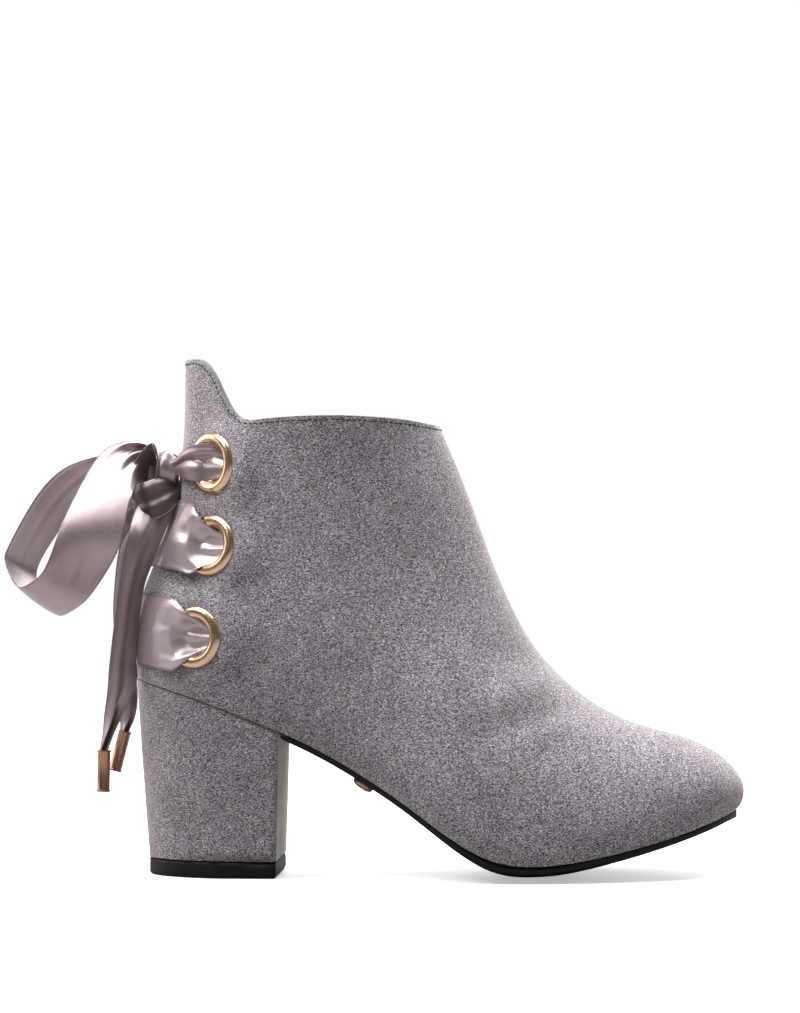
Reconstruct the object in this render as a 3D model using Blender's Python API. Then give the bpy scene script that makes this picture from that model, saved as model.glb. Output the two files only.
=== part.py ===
"""Lace-up heeled ankle boot, right foot, standing on its heel and ball.

Metres, +Z up, +X to the toe, -Y to the outer (lateral) side of the foot.
The origin is on the floor at the centre of the heel's top piece.
"""
import math

import bmesh
import bpy
import numpy as np
from mathutils import Matrix, Vector

# Driving sizes of the boot
boot_length = 0.2360         # back of the counter to the toe tip
ball_width = 0.0860          # across the ball of the foot
seat_width = 0.0570          # across the heel seat
heel_height = 0.0750         # floor to the upper's lower edge at the centre back
toe_spring = 0.0254          # floor to the upper's lower edge at the toe tip
collar_height = 0.1740       # floor to the collar's edge at the side
collar_length = 0.0983       # collar, back to front
collar_width = 0.0640        # collar, side to side
collar_crown = 0.0018        # rise of the collar's edge at the middle of its side
tab_rise = 0.0240            # back tab above the collar's edge
tab_reach = 0.0240           # tab's curve along the side, from the centre back
back_lean = 0.0187           # how far the back line leans forward, seat to collar

# Driving sizes of the parts
upper_wall = 0.0020          # suede with its lining
sole_thickness = 0.0023      # outsole
sole_crown = 0.0039          # how far the sole bulges below its edge at the ball
sole_flat = 0.0008           # how much of that bulge is flat on the floor
sole_inset = 0.0008          # outsole edge inside the upper's widest line
sole_bevel = 0.0005          # bevel of the outsole's lower edge
insole_thickness = 0.0022
insole_clearance = 0.0006    # insole edge to the inside of the upper
insole_lift = 0.0005         # insole above the curved top of the sole
heel_base_length = 0.0510    # heel block, back to front, at its foot
heel_base_width = 0.0500
heel_setback = 0.0058        # counter's back behind the heel's back at the floor
breast_lean = 0.0012         # heel front: how far its top is ahead of its foot
heel_curve = 1.15            # above 1 the heel keeps its upper width for longer
heel_round = 1.45            # how soon the heel's foot reaches its full width, from its back
heel_taper = 0.035           # heel's foot narrower at the back than at the front, share of its width
top_piece_thickness = 0.0060
top_piece_bevel = 0.0007
gap = 0.0003                 # between pieces that touch

# Eyelets and ribbon
eyelet_outer = 0.0119        # outer radius of the flange
eyelet_hole = 0.0072         # radius of the open hole
eyelet_barrel = 0.0007       # wall of the barrel
eyelet_crest = 0.0019        # flange height above the suede
washer_reach = 0.0026        # inner washer past the barrel
flat_margin = 0.0040         # suede lies flat this far past the flange
flat_fade = 0.0070           # and bends back into the boot over this distance
ribbon_width = 0.0280
ribbon_thickness = 0.0010
ribbon_clearance = 0.0009    # ribbon bar above the suede
aglet_radius = 0.0025
aglet_length = 0.0160
plate_length = 0.0090        # blank plate under the waist
plate_width = 0.0060
plate_thickness = 0.0022
plate_place = 0.385          # along the boot, as a share of its length
plate_offset = 0.30          # to the outer side, as a share of half the ball

# Where the lower edge begins and ends, inside the boot's length as shares of it
seat_in = 0.004
toe_in = 0.013

# Places that follow from the sizes
heel_back = -0.5 * heel_base_length - heel_setback
toe_tip = heel_back + boot_length
breast_top_x = 0.5 * heel_base_length + breast_lean
ball_edge = sole_thickness + sole_crown - sole_flat
half_ball = 0.5 * ball_width
half_seat = 0.5 * seat_width
half_collar = 0.5 * collar_width
seat_back_x = heel_back + seat_in * boot_length
collar_back_x = seat_back_x + back_lean
collar_front_x = collar_back_x + collar_length
feather_tip_x = toe_tip - toe_in * boot_length

# Grid of the upper
columns = 32                 # from the centre back to the centre front, each side
levels = 20                  # from the sole to the collar

# Lower edge of the upper: place along the boot, share of the heel's rise, share of the toe's rise
feather_table = (
    (0.004, 1.000, 0.000),
    (0.064, 0.944, 0.000),
    (0.118, 0.890, 0.000),
    (0.172, 0.824, 0.000),
    (0.236, 0.738, 0.000),
    (0.320, 0.606, 0.000),
    (0.378, 0.490, 0.000),
    (0.442, 0.352, 0.000),
    (0.495, 0.220, 0.000),
    (0.545, 0.100, 0.000),
    (0.590, 0.022, 0.000),
    (0.630, 0.000, 0.000),
    (0.671, 0.000, 0.016),
    (0.766, 0.000, 0.200),
    (0.857, 0.000, 0.460),
    (0.924, 0.000, 0.715),
    (0.987, 0.000, 1.000),
)

# Front line from the toe tip to the collar: share of the way back, share of the rise
front_table = (
    (0.000, 0.000),
    (-0.016, 0.018),
    (-0.027, 0.050),
    (0.004, 0.099),
    (0.070, 0.147),
    (0.177, 0.186),
    (0.284, 0.208),
    (0.400, 0.238),
    (0.520, 0.293),
    (0.627, 0.368),
    (0.705, 0.445),
    (0.775, 0.552),
    (0.835, 0.667),
    (0.888, 0.785),
    (0.952, 0.910),
    (1.000, 1.000),
)

# Back line from the seat to the collar: share of the forward lean, share of the rise
back_table = (
    (0.000, 0.000),
    (-0.050, 0.060),
    (-0.045, 0.150),
    (0.060, 0.300),
    (0.360, 0.450),
    (0.640, 0.560),
    (0.860, 0.690),
    (0.970, 0.820),
    (1.000, 1.000),
)

# Collar edge: share of the way forward, share of the crown
collar_table = (
    (0.00, 0.00),
    (0.25, 0.00),
    (0.40, 0.60),
    (0.60, 1.00),
    (0.84, 0.40),
    (1.00, -1.00),
)

# Back tab: share of its reach from the centre back, share of its rise
tab_table = (
    (0.00, 0.97),
    (0.16, 0.99),
    (0.30, 0.90),
    (0.43, 0.75),
    (0.57, 0.48),
    (0.72, 0.21),
    (0.86, 0.06),
    (1.00, 0.00),
)

# Foot: place along the boot, half width (share of the half width that blends from the seat's
# to the ball's), shift to the inner side (share of the ball), tuck of the lower edge (share of
# the half width)
foot_table = (
    (0.00, 1.000, 0.000, 0.015),
    (0.12, 1.000, 0.000, 0.030),
    (0.24, 0.944, -0.004, 0.060),
    (0.32, 0.881, -0.017, 0.105),
    (0.40, 0.857, -0.032, 0.125),
    (0.48, 0.891, -0.032, 0.100),
    (0.56, 0.965, -0.017, 0.060),
    (0.63, 1.010, 0.004, 0.040),
    (0.69, 1.005, 0.024, 0.035),
    (0.76, 0.955, 0.048, 0.035),
    (0.82, 0.880, 0.066, 0.035),
    (0.88, 0.790, 0.082, 0.035),
    (0.94, 0.670, 0.094, 0.030),
    (1.00, 0.540, 0.100, 0.025),
)
seat_to, ball_from = 0.12, 0.56       # between these places the seat's width turns into the ball's
tuck_height = 0.26           # share of the half ball over which the tuck fades out

# Ankle: share of the collar's height, half width (share of half the collar)
ankle_table = (
    (0.00, 1.10),
    (0.45, 1.05),
    (0.60, 0.99),
    (0.72, 0.96),
    (0.85, 0.97),
    (1.00, 1.00),
    (1.20, 1.02),
)
ankle_from, ankle_to = 0.24, 0.66     # foot turns into ankle between these heights

# Rounding of the front line: place along the boot, depth (share of the half ball)
round_table = (
    (0.00, 1.28),
    (0.55, 1.28),
    (0.70, 1.20),
    (0.80, 0.98),
    (0.88, 0.74),
    (0.94, 0.58),
    (1.00, 0.48),
)
back_round = 1.16            # rounding depth of the back line, share of the half ball
round_power = 1.88

# How the columns spread along the lower edge and along the collar
spread_table = (
    (0.00, 0.000, 0.000),
    (0.20, 0.082, 0.165),
    (0.40, 0.182, 0.335),
    (0.60, 0.445, 0.560),
    (0.80, 0.785, 0.785),
    (1.00, 1.000, 1.000),
)

# Eyelets: place ahead of the back line, height (share of the collar's height), turn to the back
eyelet_table = (
    ("low", 0.0255, 0.527, 7.0),
    ("mid", 0.0202, 0.727, 7.0),
    ("top", 0.0126, 0.906, 6.0),
)
sides = (("left", 1.0), ("right", -1.0))     # inner side, outer side of this right boot


def smooth(table, column):
    """A smooth curve through two columns of a table, with no overshoot."""
    xs = np.array([row[0] for row in table], dtype=float)
    ys = np.array([row[column] for row in table], dtype=float)
    steps = np.diff(xs)
    slopes = np.diff(ys) / steps
    ends = np.zeros(len(xs))
    for i in range(1, len(xs) - 1):
        if slopes[i - 1] * slopes[i] > 0.0:
            before = 2.0 * steps[i] + steps[i - 1]
            after = steps[i] + 2.0 * steps[i - 1]
            ends[i] = (before + after) / (before / slopes[i - 1] + after / slopes[i])
    ends[0] = slopes[0]
    ends[-1] = slopes[-1]

    def value(x):
        x = np.clip(x, xs[0], xs[-1])
        i = np.clip(np.searchsorted(xs, x, side="right") - 1, 0, len(xs) - 2)
        t = (x - xs[i]) / steps[i]
        lift = ys[i] * (1.0 + 2.0 * t) * (1.0 - t) ** 2 + ys[i + 1] * t * t * (3.0 - 2.0 * t)
        return lift + steps[i] * (ends[i] * t * (1.0 - t) ** 2 - ends[i + 1] * t * t * (1.0 - t))

    return value


def rounded_line(rows, count):
    """A Catmull-Rom line through rows of points, as an array of count points."""
    points = np.array(rows, dtype=float)
    padded = np.vstack([2 * points[0] - points[1], points, 2 * points[-1] - points[-2]])
    spans = len(points) - 1
    line = []
    for place in np.linspace(0.0, spans, count):
        i = min(int(place), spans - 1)
        t = place - i
        a, b, c, d = padded[i:i + 4]
        line.append(0.5 * (2 * b + (c - a) * t + (2 * a - 5 * b + 4 * c - d) * t * t
                           + (3 * b - a - 3 * c + d) * t ** 3))
    return np.array(line)


def even_line(line, shares):
    """Points of a line at the given shares of its length."""
    steps = np.linalg.norm(np.diff(line, axis=0), axis=1)
    along = np.concatenate([[0.0], np.cumsum(steps)])
    wanted = np.asarray(shares) * along[-1]
    return np.column_stack([np.interp(wanted, along, line[:, k]) for k in range(line.shape[1])])


def distance_to(line, x, z):
    """Distance in side view from points to a line of points."""
    start = line[:-1]
    run = line[1:] - start
    px = np.asarray(x)[..., None] - start[:, 0]
    pz = np.asarray(z)[..., None] - start[:, 1]
    t = np.clip((px * run[:, 0] + pz * run[:, 1]) / (run ** 2).sum(axis=1), 0.0, 1.0)
    return np.sqrt((px - t * run[:, 0]) ** 2 + (pz - t * run[:, 1]) ** 2).min(axis=-1)


heel_share_at = smooth(feather_table, 1)
toe_share_at = smooth(feather_table, 2)
collar_share_at = smooth(collar_table, 1)
tab_share_at = smooth(tab_table, 1)
foot_half_at = smooth(foot_table, 1)
foot_shift_at = smooth(foot_table, 2)
foot_tuck_at = smooth(foot_table, 3)
ankle_half_at = smooth(ankle_table, 1)
round_depth_at = smooth(round_table, 1)
spread_low = smooth(spread_table, 1)
spread_high = smooth(spread_table, 2)


def share_of(x):
    """Place along the boot, 0 at the back of the counter and 1 at the toe tip."""
    return (x - heel_back) / boot_length


def feather_z(x):
    """Height of the upper's lower edge, which is the top of the sole's edge."""
    rise = heel_share_at(share_of(x)) * (heel_height - ball_edge)
    return ball_edge + rise + toe_share_at(share_of(x)) * (toe_spring - ball_edge)


front_rise = collar_height - collar_crown - toe_spring
front_line = rounded_line([(feather_tip_x - back * (feather_tip_x - collar_front_x),
                            toe_spring + up * front_rise) for back, up in front_table], 180)
back_line = rounded_line([(seat_back_x + lean * back_lean,
                           heel_height + up * (collar_height - heel_height))
                          for lean, up in back_table], 90)
back_line_tab = np.vstack([back_line, [collar_back_x, collar_height + 2.0 * tab_rise]])


def step_share(value, low, high):
    """0 below low, 1 above high and a soft step between."""
    t = np.clip((value - low) / (high - low), 0.0, 1.0)
    return t * t * (3.0 - 2.0 * t)


def rounding(depth):
    """Share of the full width at a share of the rounding depth."""
    return (1.0 - (1.0 - np.clip(depth, 0.0, 1.0)) ** 2) ** (1.0 / round_power)


def half_width(x, z):
    """Half width of the last at a place in side view."""
    ankle = step_share(z / collar_height, ankle_from, ankle_to)
    rise = np.clip((z - feather_z(x)) / (tuck_height * half_ball), 0.0, 1.0)
    half = half_seat + (half_ball - half_seat) * step_share(share_of(x), seat_to, ball_from)
    foot = foot_half_at(share_of(x)) * half * (1.0 - foot_tuck_at(share_of(x)) * (1.0 - rise) ** 2)
    full = (1.0 - ankle) * foot + ankle * ankle_half_at(z / collar_height) * half_collar
    front = distance_to(front_line, x, z) / (round_depth_at(share_of(x)) * half_ball)
    back = distance_to(back_line_tab, x, z) / (back_round * half_ball)
    return full * rounding(front) * rounding(back)


def centre_y(x, z):
    """Centre line of the last, which swings to the inner side at the toe."""
    ankle = step_share(z / collar_height, ankle_from, ankle_to)
    return foot_shift_at(share_of(x)) * ball_width * (1.0 - ankle)


def last_point(x, z, side):
    """Points of the last's surface on one side, before the eyelets flatten it."""
    y = centre_y(x, z) + side * half_width(x, z)
    return np.stack([x + 0.0 * y, y, z + 0.0 * y], axis=-1)


def normal_of(surface, x, z, side):
    """Outward normal of a surface given by its place in side view."""
    d = 0.0004
    along_x = surface(x + d, z, side) - surface(x - d, z, side)
    along_z = surface(x, z + d, side) - surface(x, z - d, side)
    normal = np.cross(along_z, along_x) * side
    return normal / np.linalg.norm(normal, axis=-1, keepdims=True)


def eyelet_seats():
    """Centre and normal of each eyelet's seat, by row and side."""
    seats = {}
    for row, ahead, height, turn in eyelet_table:
        z = height * collar_height
        x = float(np.interp(z, back_line_tab[:, 1], back_line_tab[:, 0])) + ahead
        for side_name, side in sides:
            centre = last_point(np.array(x), np.array(z), side)
            normal = Vector(normal_of(last_point, np.array(x), np.array(z), side))
            normal = Matrix.Rotation(math.radians(turn * side), 3, "Z") @ normal
            seats[row, side_name] = (np.array(centre), np.array(normal))
    return seats


eyelet_seat = eyelet_seats()


def seat_shares(points, side):
    """How far each eyelet on one side flattens the suede at points, with its height above the seat."""
    flat_to = eyelet_outer + flat_margin
    holds, heights, normals = [], [], []
    for (_, side_name), (centre, normal) in eyelet_seat.items():
        if dict(sides)[side_name] * side < 0.0:
            continue
        away = points - centre
        height = (away * normal).sum(axis=-1)
        reach = np.linalg.norm(away - height[..., None] * normal, axis=-1)
        holds.append(1.0 - step_share(reach, flat_to, flat_to + flat_fade))
        heights.append(height)
        normals.append(normal)
    holds = np.array(holds)
    nearest = holds ** 6 + 1e-12
    shares = nearest / nearest.sum(axis=0) * holds.max(axis=0)
    return shares, np.array(heights), np.array(normals)


def upper_point(x, z, side):
    """Points of the upper's outer surface, flat under each eyelet."""
    points = last_point(x, z, side)
    shares, heights, normals = seat_shares(points, side)
    points = points - np.tensordot(shares * heights, normals, axes=(0, 0))
    inner_limit = np.minimum(0.0, side * centre_y(x, z))
    points[..., 1] = side * np.maximum(side * points[..., 1], inner_limit)
    return points


def side_grid():
    """Side-view places of the upper's grid: columns from back to front, levels from sole to collar."""
    fine = 0.5 * (1 - np.cos(np.linspace(0, math.pi, 900)))
    low = seat_back_x + (feather_tip_x - seat_back_x) * fine
    low_line = np.column_stack([low, half_width(low, feather_z(low)), feather_z(low)])
    high = collar_back_x + collar_length * fine
    high_z = collar_height + collar_crown * collar_share_at((high - collar_back_x) / collar_length)
    high_line = np.column_stack([high, half_width(high, high_z), high_z])
    places = np.linspace(0.0, 1.0, columns + 1)
    sole_edge = even_line(low_line, spread_low(places))[:, [0, 2]]
    collar_edge = even_line(high_line, spread_high(places))[:, [0, 2]]
    rise = np.linspace(0.0, 1.0, levels + 1)
    front = even_line(front_line, rise ** 1.30)
    back = even_line(back_line, rise ** 1.05)
    sole_share = (sole_edge[:, 0] - sole_edge[0, 0]) / (sole_edge[-1, 0] - sole_edge[0, 0])
    collar_share = (collar_edge[:, 0] - collar_edge[0, 0]) / (collar_edge[-1, 0] - collar_edge[0, 0])
    tab = tab_rise * tab_share_at((collar_edge[:, 0] - collar_back_x) / tab_reach)
    grid = np.zeros((columns + 1, levels + 1, 2))
    for j, v in enumerate(rise):
        a = ((1 - v) * sole_share + v * collar_share)[:, None]
        grid[:, j] = (1 - v) * sole_edge + v * collar_edge + (1 - a) * back[j] + a * front[j]
        grid[:, j] -= (1 - v) * ((1 - a) * sole_edge[0] + a * sole_edge[-1])
        grid[:, j] -= v * ((1 - a) * collar_edge[0] + a * collar_edge[-1])
        grid[:, j, 1] += tab * step_share(v, 0.55, 1.0) ** 1.5
    return grid


def remove_scene_objects():
    for item in list(bpy.data.objects):
        bpy.data.objects.remove(item, do_unlink=True)


def material(name, colour, roughness, metallic=0.0):
    made = bpy.data.materials.new(name)
    made.use_nodes = True
    shader = made.node_tree.nodes["Principled BSDF"]
    shader.inputs["Base Color"].default_value = (*colour, 1.0)
    shader.inputs["Roughness"].default_value = roughness
    shader.inputs["Metallic"].default_value = metallic
    return made


def add_piece(name, points, faces, finish, flat_angle=40.0):
    """A closed mesh object of its own, shaded smooth with sharp edges kept."""
    mesh = bpy.data.meshes.new(name)
    mesh.from_pydata([tuple(float(c) for c in point) for point in points], [], faces)
    work = bmesh.new()
    work.from_mesh(mesh)
    bmesh.ops.recalc_face_normals(work, faces=work.faces)
    work.to_mesh(mesh)
    work.free()
    mesh.shade_smooth()
    mesh.set_sharp_from_angle(angle=math.radians(flat_angle))
    mesh.materials.append(finish)
    piece = bpy.data.objects.new(name, mesh)
    bpy.context.scene.collection.objects.link(piece)
    return piece


def add_cutter(name, radius, depth, matrix, target, segments=28):
    """A hidden cylinder that a Boolean takes out of its target."""
    ring = [(radius * math.cos(a), radius * math.sin(a))
            for a in np.linspace(0, 2 * math.pi, segments, endpoint=False)]
    points = [(x, y, -depth) for x, y in ring] + [(x, y, depth) for x, y in ring]
    faces = [tuple(reversed(range(segments))), tuple(range(segments, 2 * segments))]
    for i in range(segments):
        j = (i + 1) % segments
        faces.append((i, j, segments + j, segments + i))
    mesh = bpy.data.meshes.new(name)
    mesh.from_pydata(points, [], faces)
    mesh.transform(matrix)
    cutter = bpy.data.objects.new(name, mesh)
    bpy.context.scene.collection.objects.link(cutter)
    cutter.hide_render = True
    cutter.display_type = "WIRE"
    cut = target.modifiers.new(name, "BOOLEAN")
    cut.operation = "DIFFERENCE"
    cut.solver = "EXACT"
    cut.object = cutter
    return cutter


def seat_matrix(row, side_name):
    """Matrix whose Z points out of the boot at an eyelet's seat, with its origin on the suede."""
    centre, normal = eyelet_seat[row, side_name]
    turn = Vector(normal).to_track_quat("Z", "Y").to_matrix().to_4x4()
    return Matrix.Translation(Vector(centre)) @ turn


def build_upper(finish):
    """One hollow wall, open at the collar and underneath, with six eyelet holes."""
    grid = side_grid()
    outer = []
    ring = [(i, -1.0) for i in range(columns + 1)] + [(i, 1.0) for i in range(columns - 1, 0, -1)]
    for j in range(levels + 1):
        for i, side in ring:
            x, z = grid[i, j]
            point = upper_point(np.array(x), np.array(z), side)
            if i in (0, columns):
                point = np.array([x, centre_y(x, z), z])
            outer.append(np.array(point, dtype=float))
    outer = np.array(outer).reshape(levels + 1, len(ring), 3)
    normals = grid_normals(outer)
    for i, (_, side) in enumerate(ring):
        shares, _, seat_normals = seat_shares(outer[:, i], side)
        mixed = normals[:, i] * (1.0 - shares.sum(axis=0))[:, None]
        mixed += np.tensordot(shares, seat_normals, axes=(0, 0))
        normals[:, i] = mixed / np.linalg.norm(mixed, axis=-1, keepdims=True)
    inner = outer - upper_wall * normals
    outer[0, :, 2] += gap
    inner[0, :, 2] = outer[0, :, 2]
    count = len(ring)
    points = np.vstack([outer.reshape(-1, 3), inner.reshape(-1, 3)])
    offset = outer.shape[0] * count
    faces = []
    for j in range(levels):
        for i in range(count):
            k = (i + 1) % count
            a, b, c, d = j * count + i, j * count + k, (j + 1) * count + k, (j + 1) * count + i
            faces.append((a, b, c, d))
            faces.append((offset + d, offset + c, offset + b, offset + a))
    top = levels * count
    for i in range(count):
        k = (i + 1) % count
        faces.append((offset + i, offset + k, k, i))
        faces.append((top + i, top + k, offset + top + k, offset + top + i))
    upper = add_piece("upper", points, faces, finish)
    for row, side_name in eyelet_seat:
        add_cutter("cut_" + row + "_" + side_name, eyelet_hole + eyelet_barrel + gap,
                   5.0 * upper_wall, seat_matrix(row, side_name), upper)
    return upper


def grid_normals(points):
    """Outward normals of a grid of levels and a closed ring, from its own quads."""
    around = np.roll(points, -1, axis=1) - np.roll(points, 1, axis=1)
    up = np.gradient(points, axis=0)
    normals = np.cross(around, up)
    return normals / np.linalg.norm(normals, axis=-1, keepdims=True)


def sole_top(x, across):
    """Top of the sole at a share across it, with its crown below the edge at the ball."""
    share = share_of(x)
    crown = sole_crown * step_share(share, 0.30, 0.58) * (1.0 - 0.75 * step_share(share, 0.68, 0.98))
    return feather_z(x) - crown * (1.0 - across * across)


def inset_outline(inset):
    """Outline of the lower edge in plan, drawn in by a distance: its ends and its two sides."""
    t = np.linspace(0.0, math.pi, 1200)
    x = seat_back_x + (feather_tip_x - seat_back_x) * 0.5 * (1.0 - np.cos(t))
    half = half_width(x, feather_z(x))
    centre = centre_y(x, feather_z(x))
    lines = []
    for side in (-1.0, 1.0):
        y = centre + side * half
        run_x, run_y = np.gradient(x), np.gradient(y)
        length = np.hypot(run_x, run_y)
        new_x = x + side * inset * run_y / length
        new_y = y - side * inset * run_x / length
        keep = side * (new_y - np.interp(new_x, x, centre)) > 0.0
        order = np.argsort(new_x[keep])
        lines.append((new_x[keep][order], new_y[keep][order]))
    start = max(line[0][0] for line in lines)
    end = min(line[0][-1] for line in lines)
    return start, end, lines


def plate_sections(start_x, inset, count, power):
    """Places along a plate with the half width and centre there; both are 0 wide at its tips."""
    start, end, lines = inset_outline(inset)
    first = start if start_x is None else start_x
    t = np.linspace(0.0, 1.0, count)
    share = 0.5 * (1.0 - np.cos(math.pi * t)) if start_x is None else 1.0 - (1.0 - t) ** power
    place = first + (end - first) * share
    low = np.interp(place, *lines[0])
    high = np.interp(place, *lines[1])
    half = 0.5 * (high - low)
    half[-1] = 0.0
    if start_x is None:
        half[0] = 0.0
    return place, half, 0.5 * (high + low)


def plate_grid(name, place, half, centre, top_at, bottom_at, bevel, finish, closed_back=False):
    """A curved plate between two height functions, in strips across the boot."""
    across = np.array([-1.0, -0.72, -0.36, 0.0, 0.36, 0.72, 1.0])
    count = len(across)
    points, faces = [], []
    tops, bottoms = [], []
    for n, (x, w, c) in enumerate(zip(place, half, centre)):
        point_end = n == len(place) - 1 or (closed_back and n == 0)
        shares = [0.0] if point_end else across
        top_row, bottom_row = [], []
        for share in shares:
            edge = 1.0 if abs(share) == 1.0 else 0.0
            top_row.append(len(points))
            points.append((x, c + share * w, top_at(x, share)))
            bottom_row.append(len(points))
            points.append((x, c + share * max(w - bevel * edge, 0.0), bottom_at(x, share)))
        tops.append(top_row)
        bottoms.append(bottom_row)
    for n in range(len(place) - 1):
        near, far = tops[n], tops[n + 1]
        low_near, low_far = bottoms[n], bottoms[n + 1]
        for k in range(count - 1):
            if len(near) == 1:
                faces.append((near[0], far[k], far[k + 1]))
                faces.append((low_near[0], low_far[k + 1], low_far[k]))
            elif len(far) == 1:
                faces.append((near[k], far[0], near[k + 1]))
                faces.append((low_near[k], low_near[k + 1], low_far[0]))
            else:
                faces.append((near[k], far[k], far[k + 1], near[k + 1]))
                faces.append((low_near[k], low_near[k + 1], low_far[k + 1], low_far[k]))
        faces.append((near[0], low_near[0], low_far[0], far[0]))
        faces.append((near[-1], far[-1], low_far[-1], low_near[-1]))
    if not closed_back:
        for k in range(count - 1):
            faces.append((tops[0][k], tops[0][k + 1], bottoms[0][k + 1], bottoms[0][k]))
    return add_piece(name, points, faces, finish)


def build_outsole(finish):
    place, half, centre = plate_sections(breast_top_x + gap, sole_inset, 25, 1.7)

    def bottom(x, share):
        return max(sole_top(x, share) - sole_thickness, 0.0)

    return plate_grid("outsole", place, half, centre, sole_top, bottom, sole_bevel, finish)


def build_insole(finish):
    place, half, centre = plate_sections(None, upper_wall + insole_clearance, 20, 1.0)

    def bottom(x, share):
        return sole_top(x, share) + insole_lift

    def top(x, share):
        return bottom(x, share) + insole_thickness

    return plate_grid("insole", place, half, centre, top, bottom, 0.0, finish, closed_back=True)


def heel_rows(count):
    """Paired points of the heel's outline, from its back to its front, at its top and foot."""
    rows = []
    for share in 1.0 - np.cos(np.linspace(0.0, 0.5 * math.pi, count)):
        top_x = seat_back_x + share * (breast_top_x - seat_back_x)
        top_half = float(half_width(np.array(top_x), feather_z(top_x)))
        foot_x = -0.5 * heel_base_length + share * heel_base_length
        foot_half = 0.5 * heel_base_width * float(rounding(share * heel_round))
        foot_half *= 1.0 - heel_taper * (1.0 - share)
        rows.append((top_x, top_half, foot_x, foot_half))
    return rows


def build_heel(finish):
    """Covered block heel: its top follows the seat and its foot is level."""
    rows = heel_rows(14)
    steps = 7
    foot_z = top_piece_thickness + gap
    points, faces, rings = [], [], []
    for level in range(steps + 1):
        down = level / steps
        ease = down ** heel_curve
        ring = []
        for side in (-1.0, 1.0):
            for top_x, top_half, foot_x, foot_half in rows:
                if side > 0 and top_x == rows[0][0]:
                    continue
                ring.append(len(points))
                x = top_x + (foot_x - top_x) * ease
                y = side * (top_half + (foot_half - top_half) * ease)
                z = feather_z(top_x) + (foot_z - feather_z(top_x)) * down
                points.append((x, y, z))
        rings.append(ring)
    count = len(rows)
    outer = [list(range(count)), [0] + list(range(count, 2 * count - 1))]
    for level in range(steps):
        high, low = rings[level], rings[level + 1]
        for k in range(count - 1):
            a, b = outer[0][k], outer[0][k + 1]
            faces.append((high[a], low[a], low[b], high[b]))
            a, b = outer[1][k], outer[1][k + 1]
            faces.append((high[a], high[b], low[b], low[a]))
        a, b = outer[0][-1], outer[1][-1]
        faces.append((high[a], low[a], low[b], high[b]))
    for ring, turn in ((rings[0], 1), (rings[-1], -1)):
        for k in range(count - 1):
            a, b = ring[outer[0][k]], ring[outer[0][k + 1]]
            c, d = ring[outer[1][k + 1]], ring[outer[1][k]]
            loop = (a, b, c, d) if k else (a, b, c)
            faces.append(loop[::turn])
    return add_piece("heel_block", points, faces, finish)


def build_top_piece(finish):
    """Black top piece under the heel, flat on the floor."""
    rows = heel_rows(14)
    outline = [(foot_x, -foot_half) for _, _, foot_x, foot_half in rows]
    outline += [(foot_x, foot_half) for _, _, foot_x, foot_half in reversed(rows[1:])]
    levels_here = ((top_piece_thickness, 0.0), (top_piece_bevel, 0.0), (0.0, top_piece_bevel))
    points, faces = [], []
    for z, inset in levels_here:
        shrink_x = 1.0 - inset / (0.5 * heel_base_length)
        shrink_y = 1.0 - inset / (0.5 * heel_base_width)
        points += [(x * shrink_x, y * shrink_y, z) for x, y in outline]
    count = len(outline)
    for level in range(len(levels_here) - 1):
        for i in range(count):
            k = (i + 1) % count
            a, b = level * count, (level + 1) * count
            faces.append((a + i, b + i, b + k, a + k))
    faces.append(tuple(range(count)))
    faces.append(tuple(reversed(range(2 * count, 3 * count))))
    return add_piece("top_piece", points, faces, finish, flat_angle=30.0)


def turned(name, profile, segments, matrix, finish):
    """A closed profile of radius and height, turned about Z and placed by a matrix."""
    points, faces = [], []
    count = len(profile)
    for n in range(segments):
        a = 2 * math.pi * n / segments
        points += [matrix @ Vector((r * math.cos(a), r * math.sin(a), z)) for r, z in profile]
    for n in range(segments):
        m = (n + 1) % segments
        for k in range(count):
            j = (k + 1) % count
            faces.append((n * count + k, m * count + k, m * count + j, n * count + j))
    return add_piece(name, points, faces, finish, flat_angle=55.0)


def build_eyelets(finish):
    """Brass rings: a rounded flange outside, a barrel through the wall and a washer inside."""
    barrel = eyelet_hole + eyelet_barrel
    middle = 0.5 * (eyelet_hole + eyelet_outer)
    washer_face = -upper_wall - gap
    profile = (
        (eyelet_outer, gap),
        (eyelet_outer - 0.10 * eyelet_crest, 0.50 * eyelet_crest),
        (middle + 0.35 * eyelet_crest, 0.93 * eyelet_crest),
        (middle - 0.40 * eyelet_crest, eyelet_crest),
        (eyelet_hole + 0.30 * eyelet_crest, 0.70 * eyelet_crest),
        (eyelet_hole, 0.0),
        (eyelet_hole, washer_face - eyelet_barrel),
        (barrel + washer_reach, washer_face - eyelet_barrel),
        (barrel + washer_reach, washer_face),
        (barrel, washer_face),
        (barrel, gap),
    )
    for row, side_name in eyelet_seat:
        turned("eyelet_" + row + "_" + side_name, profile, 18, seat_matrix(row, side_name), finish)


def band(name, centres, reaches, thickness, finish):
    """A ribbon solid: rows of centres with the reach from the centre to each edge."""
    centres = np.array(centres)
    reaches = np.array(reaches)
    along = np.gradient(centres, axis=0)
    normals = np.cross(along, reaches)
    normals /= np.linalg.norm(normals, axis=1, keepdims=True)
    points, faces = [], []
    for c, w, n in zip(centres, reaches, normals):
        t = 0.5 * thickness * n
        points += [c - w - t, c - t, c + w - t, c + w + t, c + t, c - w + t]
    for i in range(len(centres) - 1):
        for k in range(6):
            j = (k + 1) % 6
            faces.append((6 * i + k, 6 * i + j, 6 * i + 6 + j, 6 * i + 6 + k))
    last = 6 * (len(centres) - 1)
    faces.append((5, 4, 3, 2, 1, 0))
    faces.append(tuple(last + k for k in range(6)))
    return add_piece(name, points, faces, finish)


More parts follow.
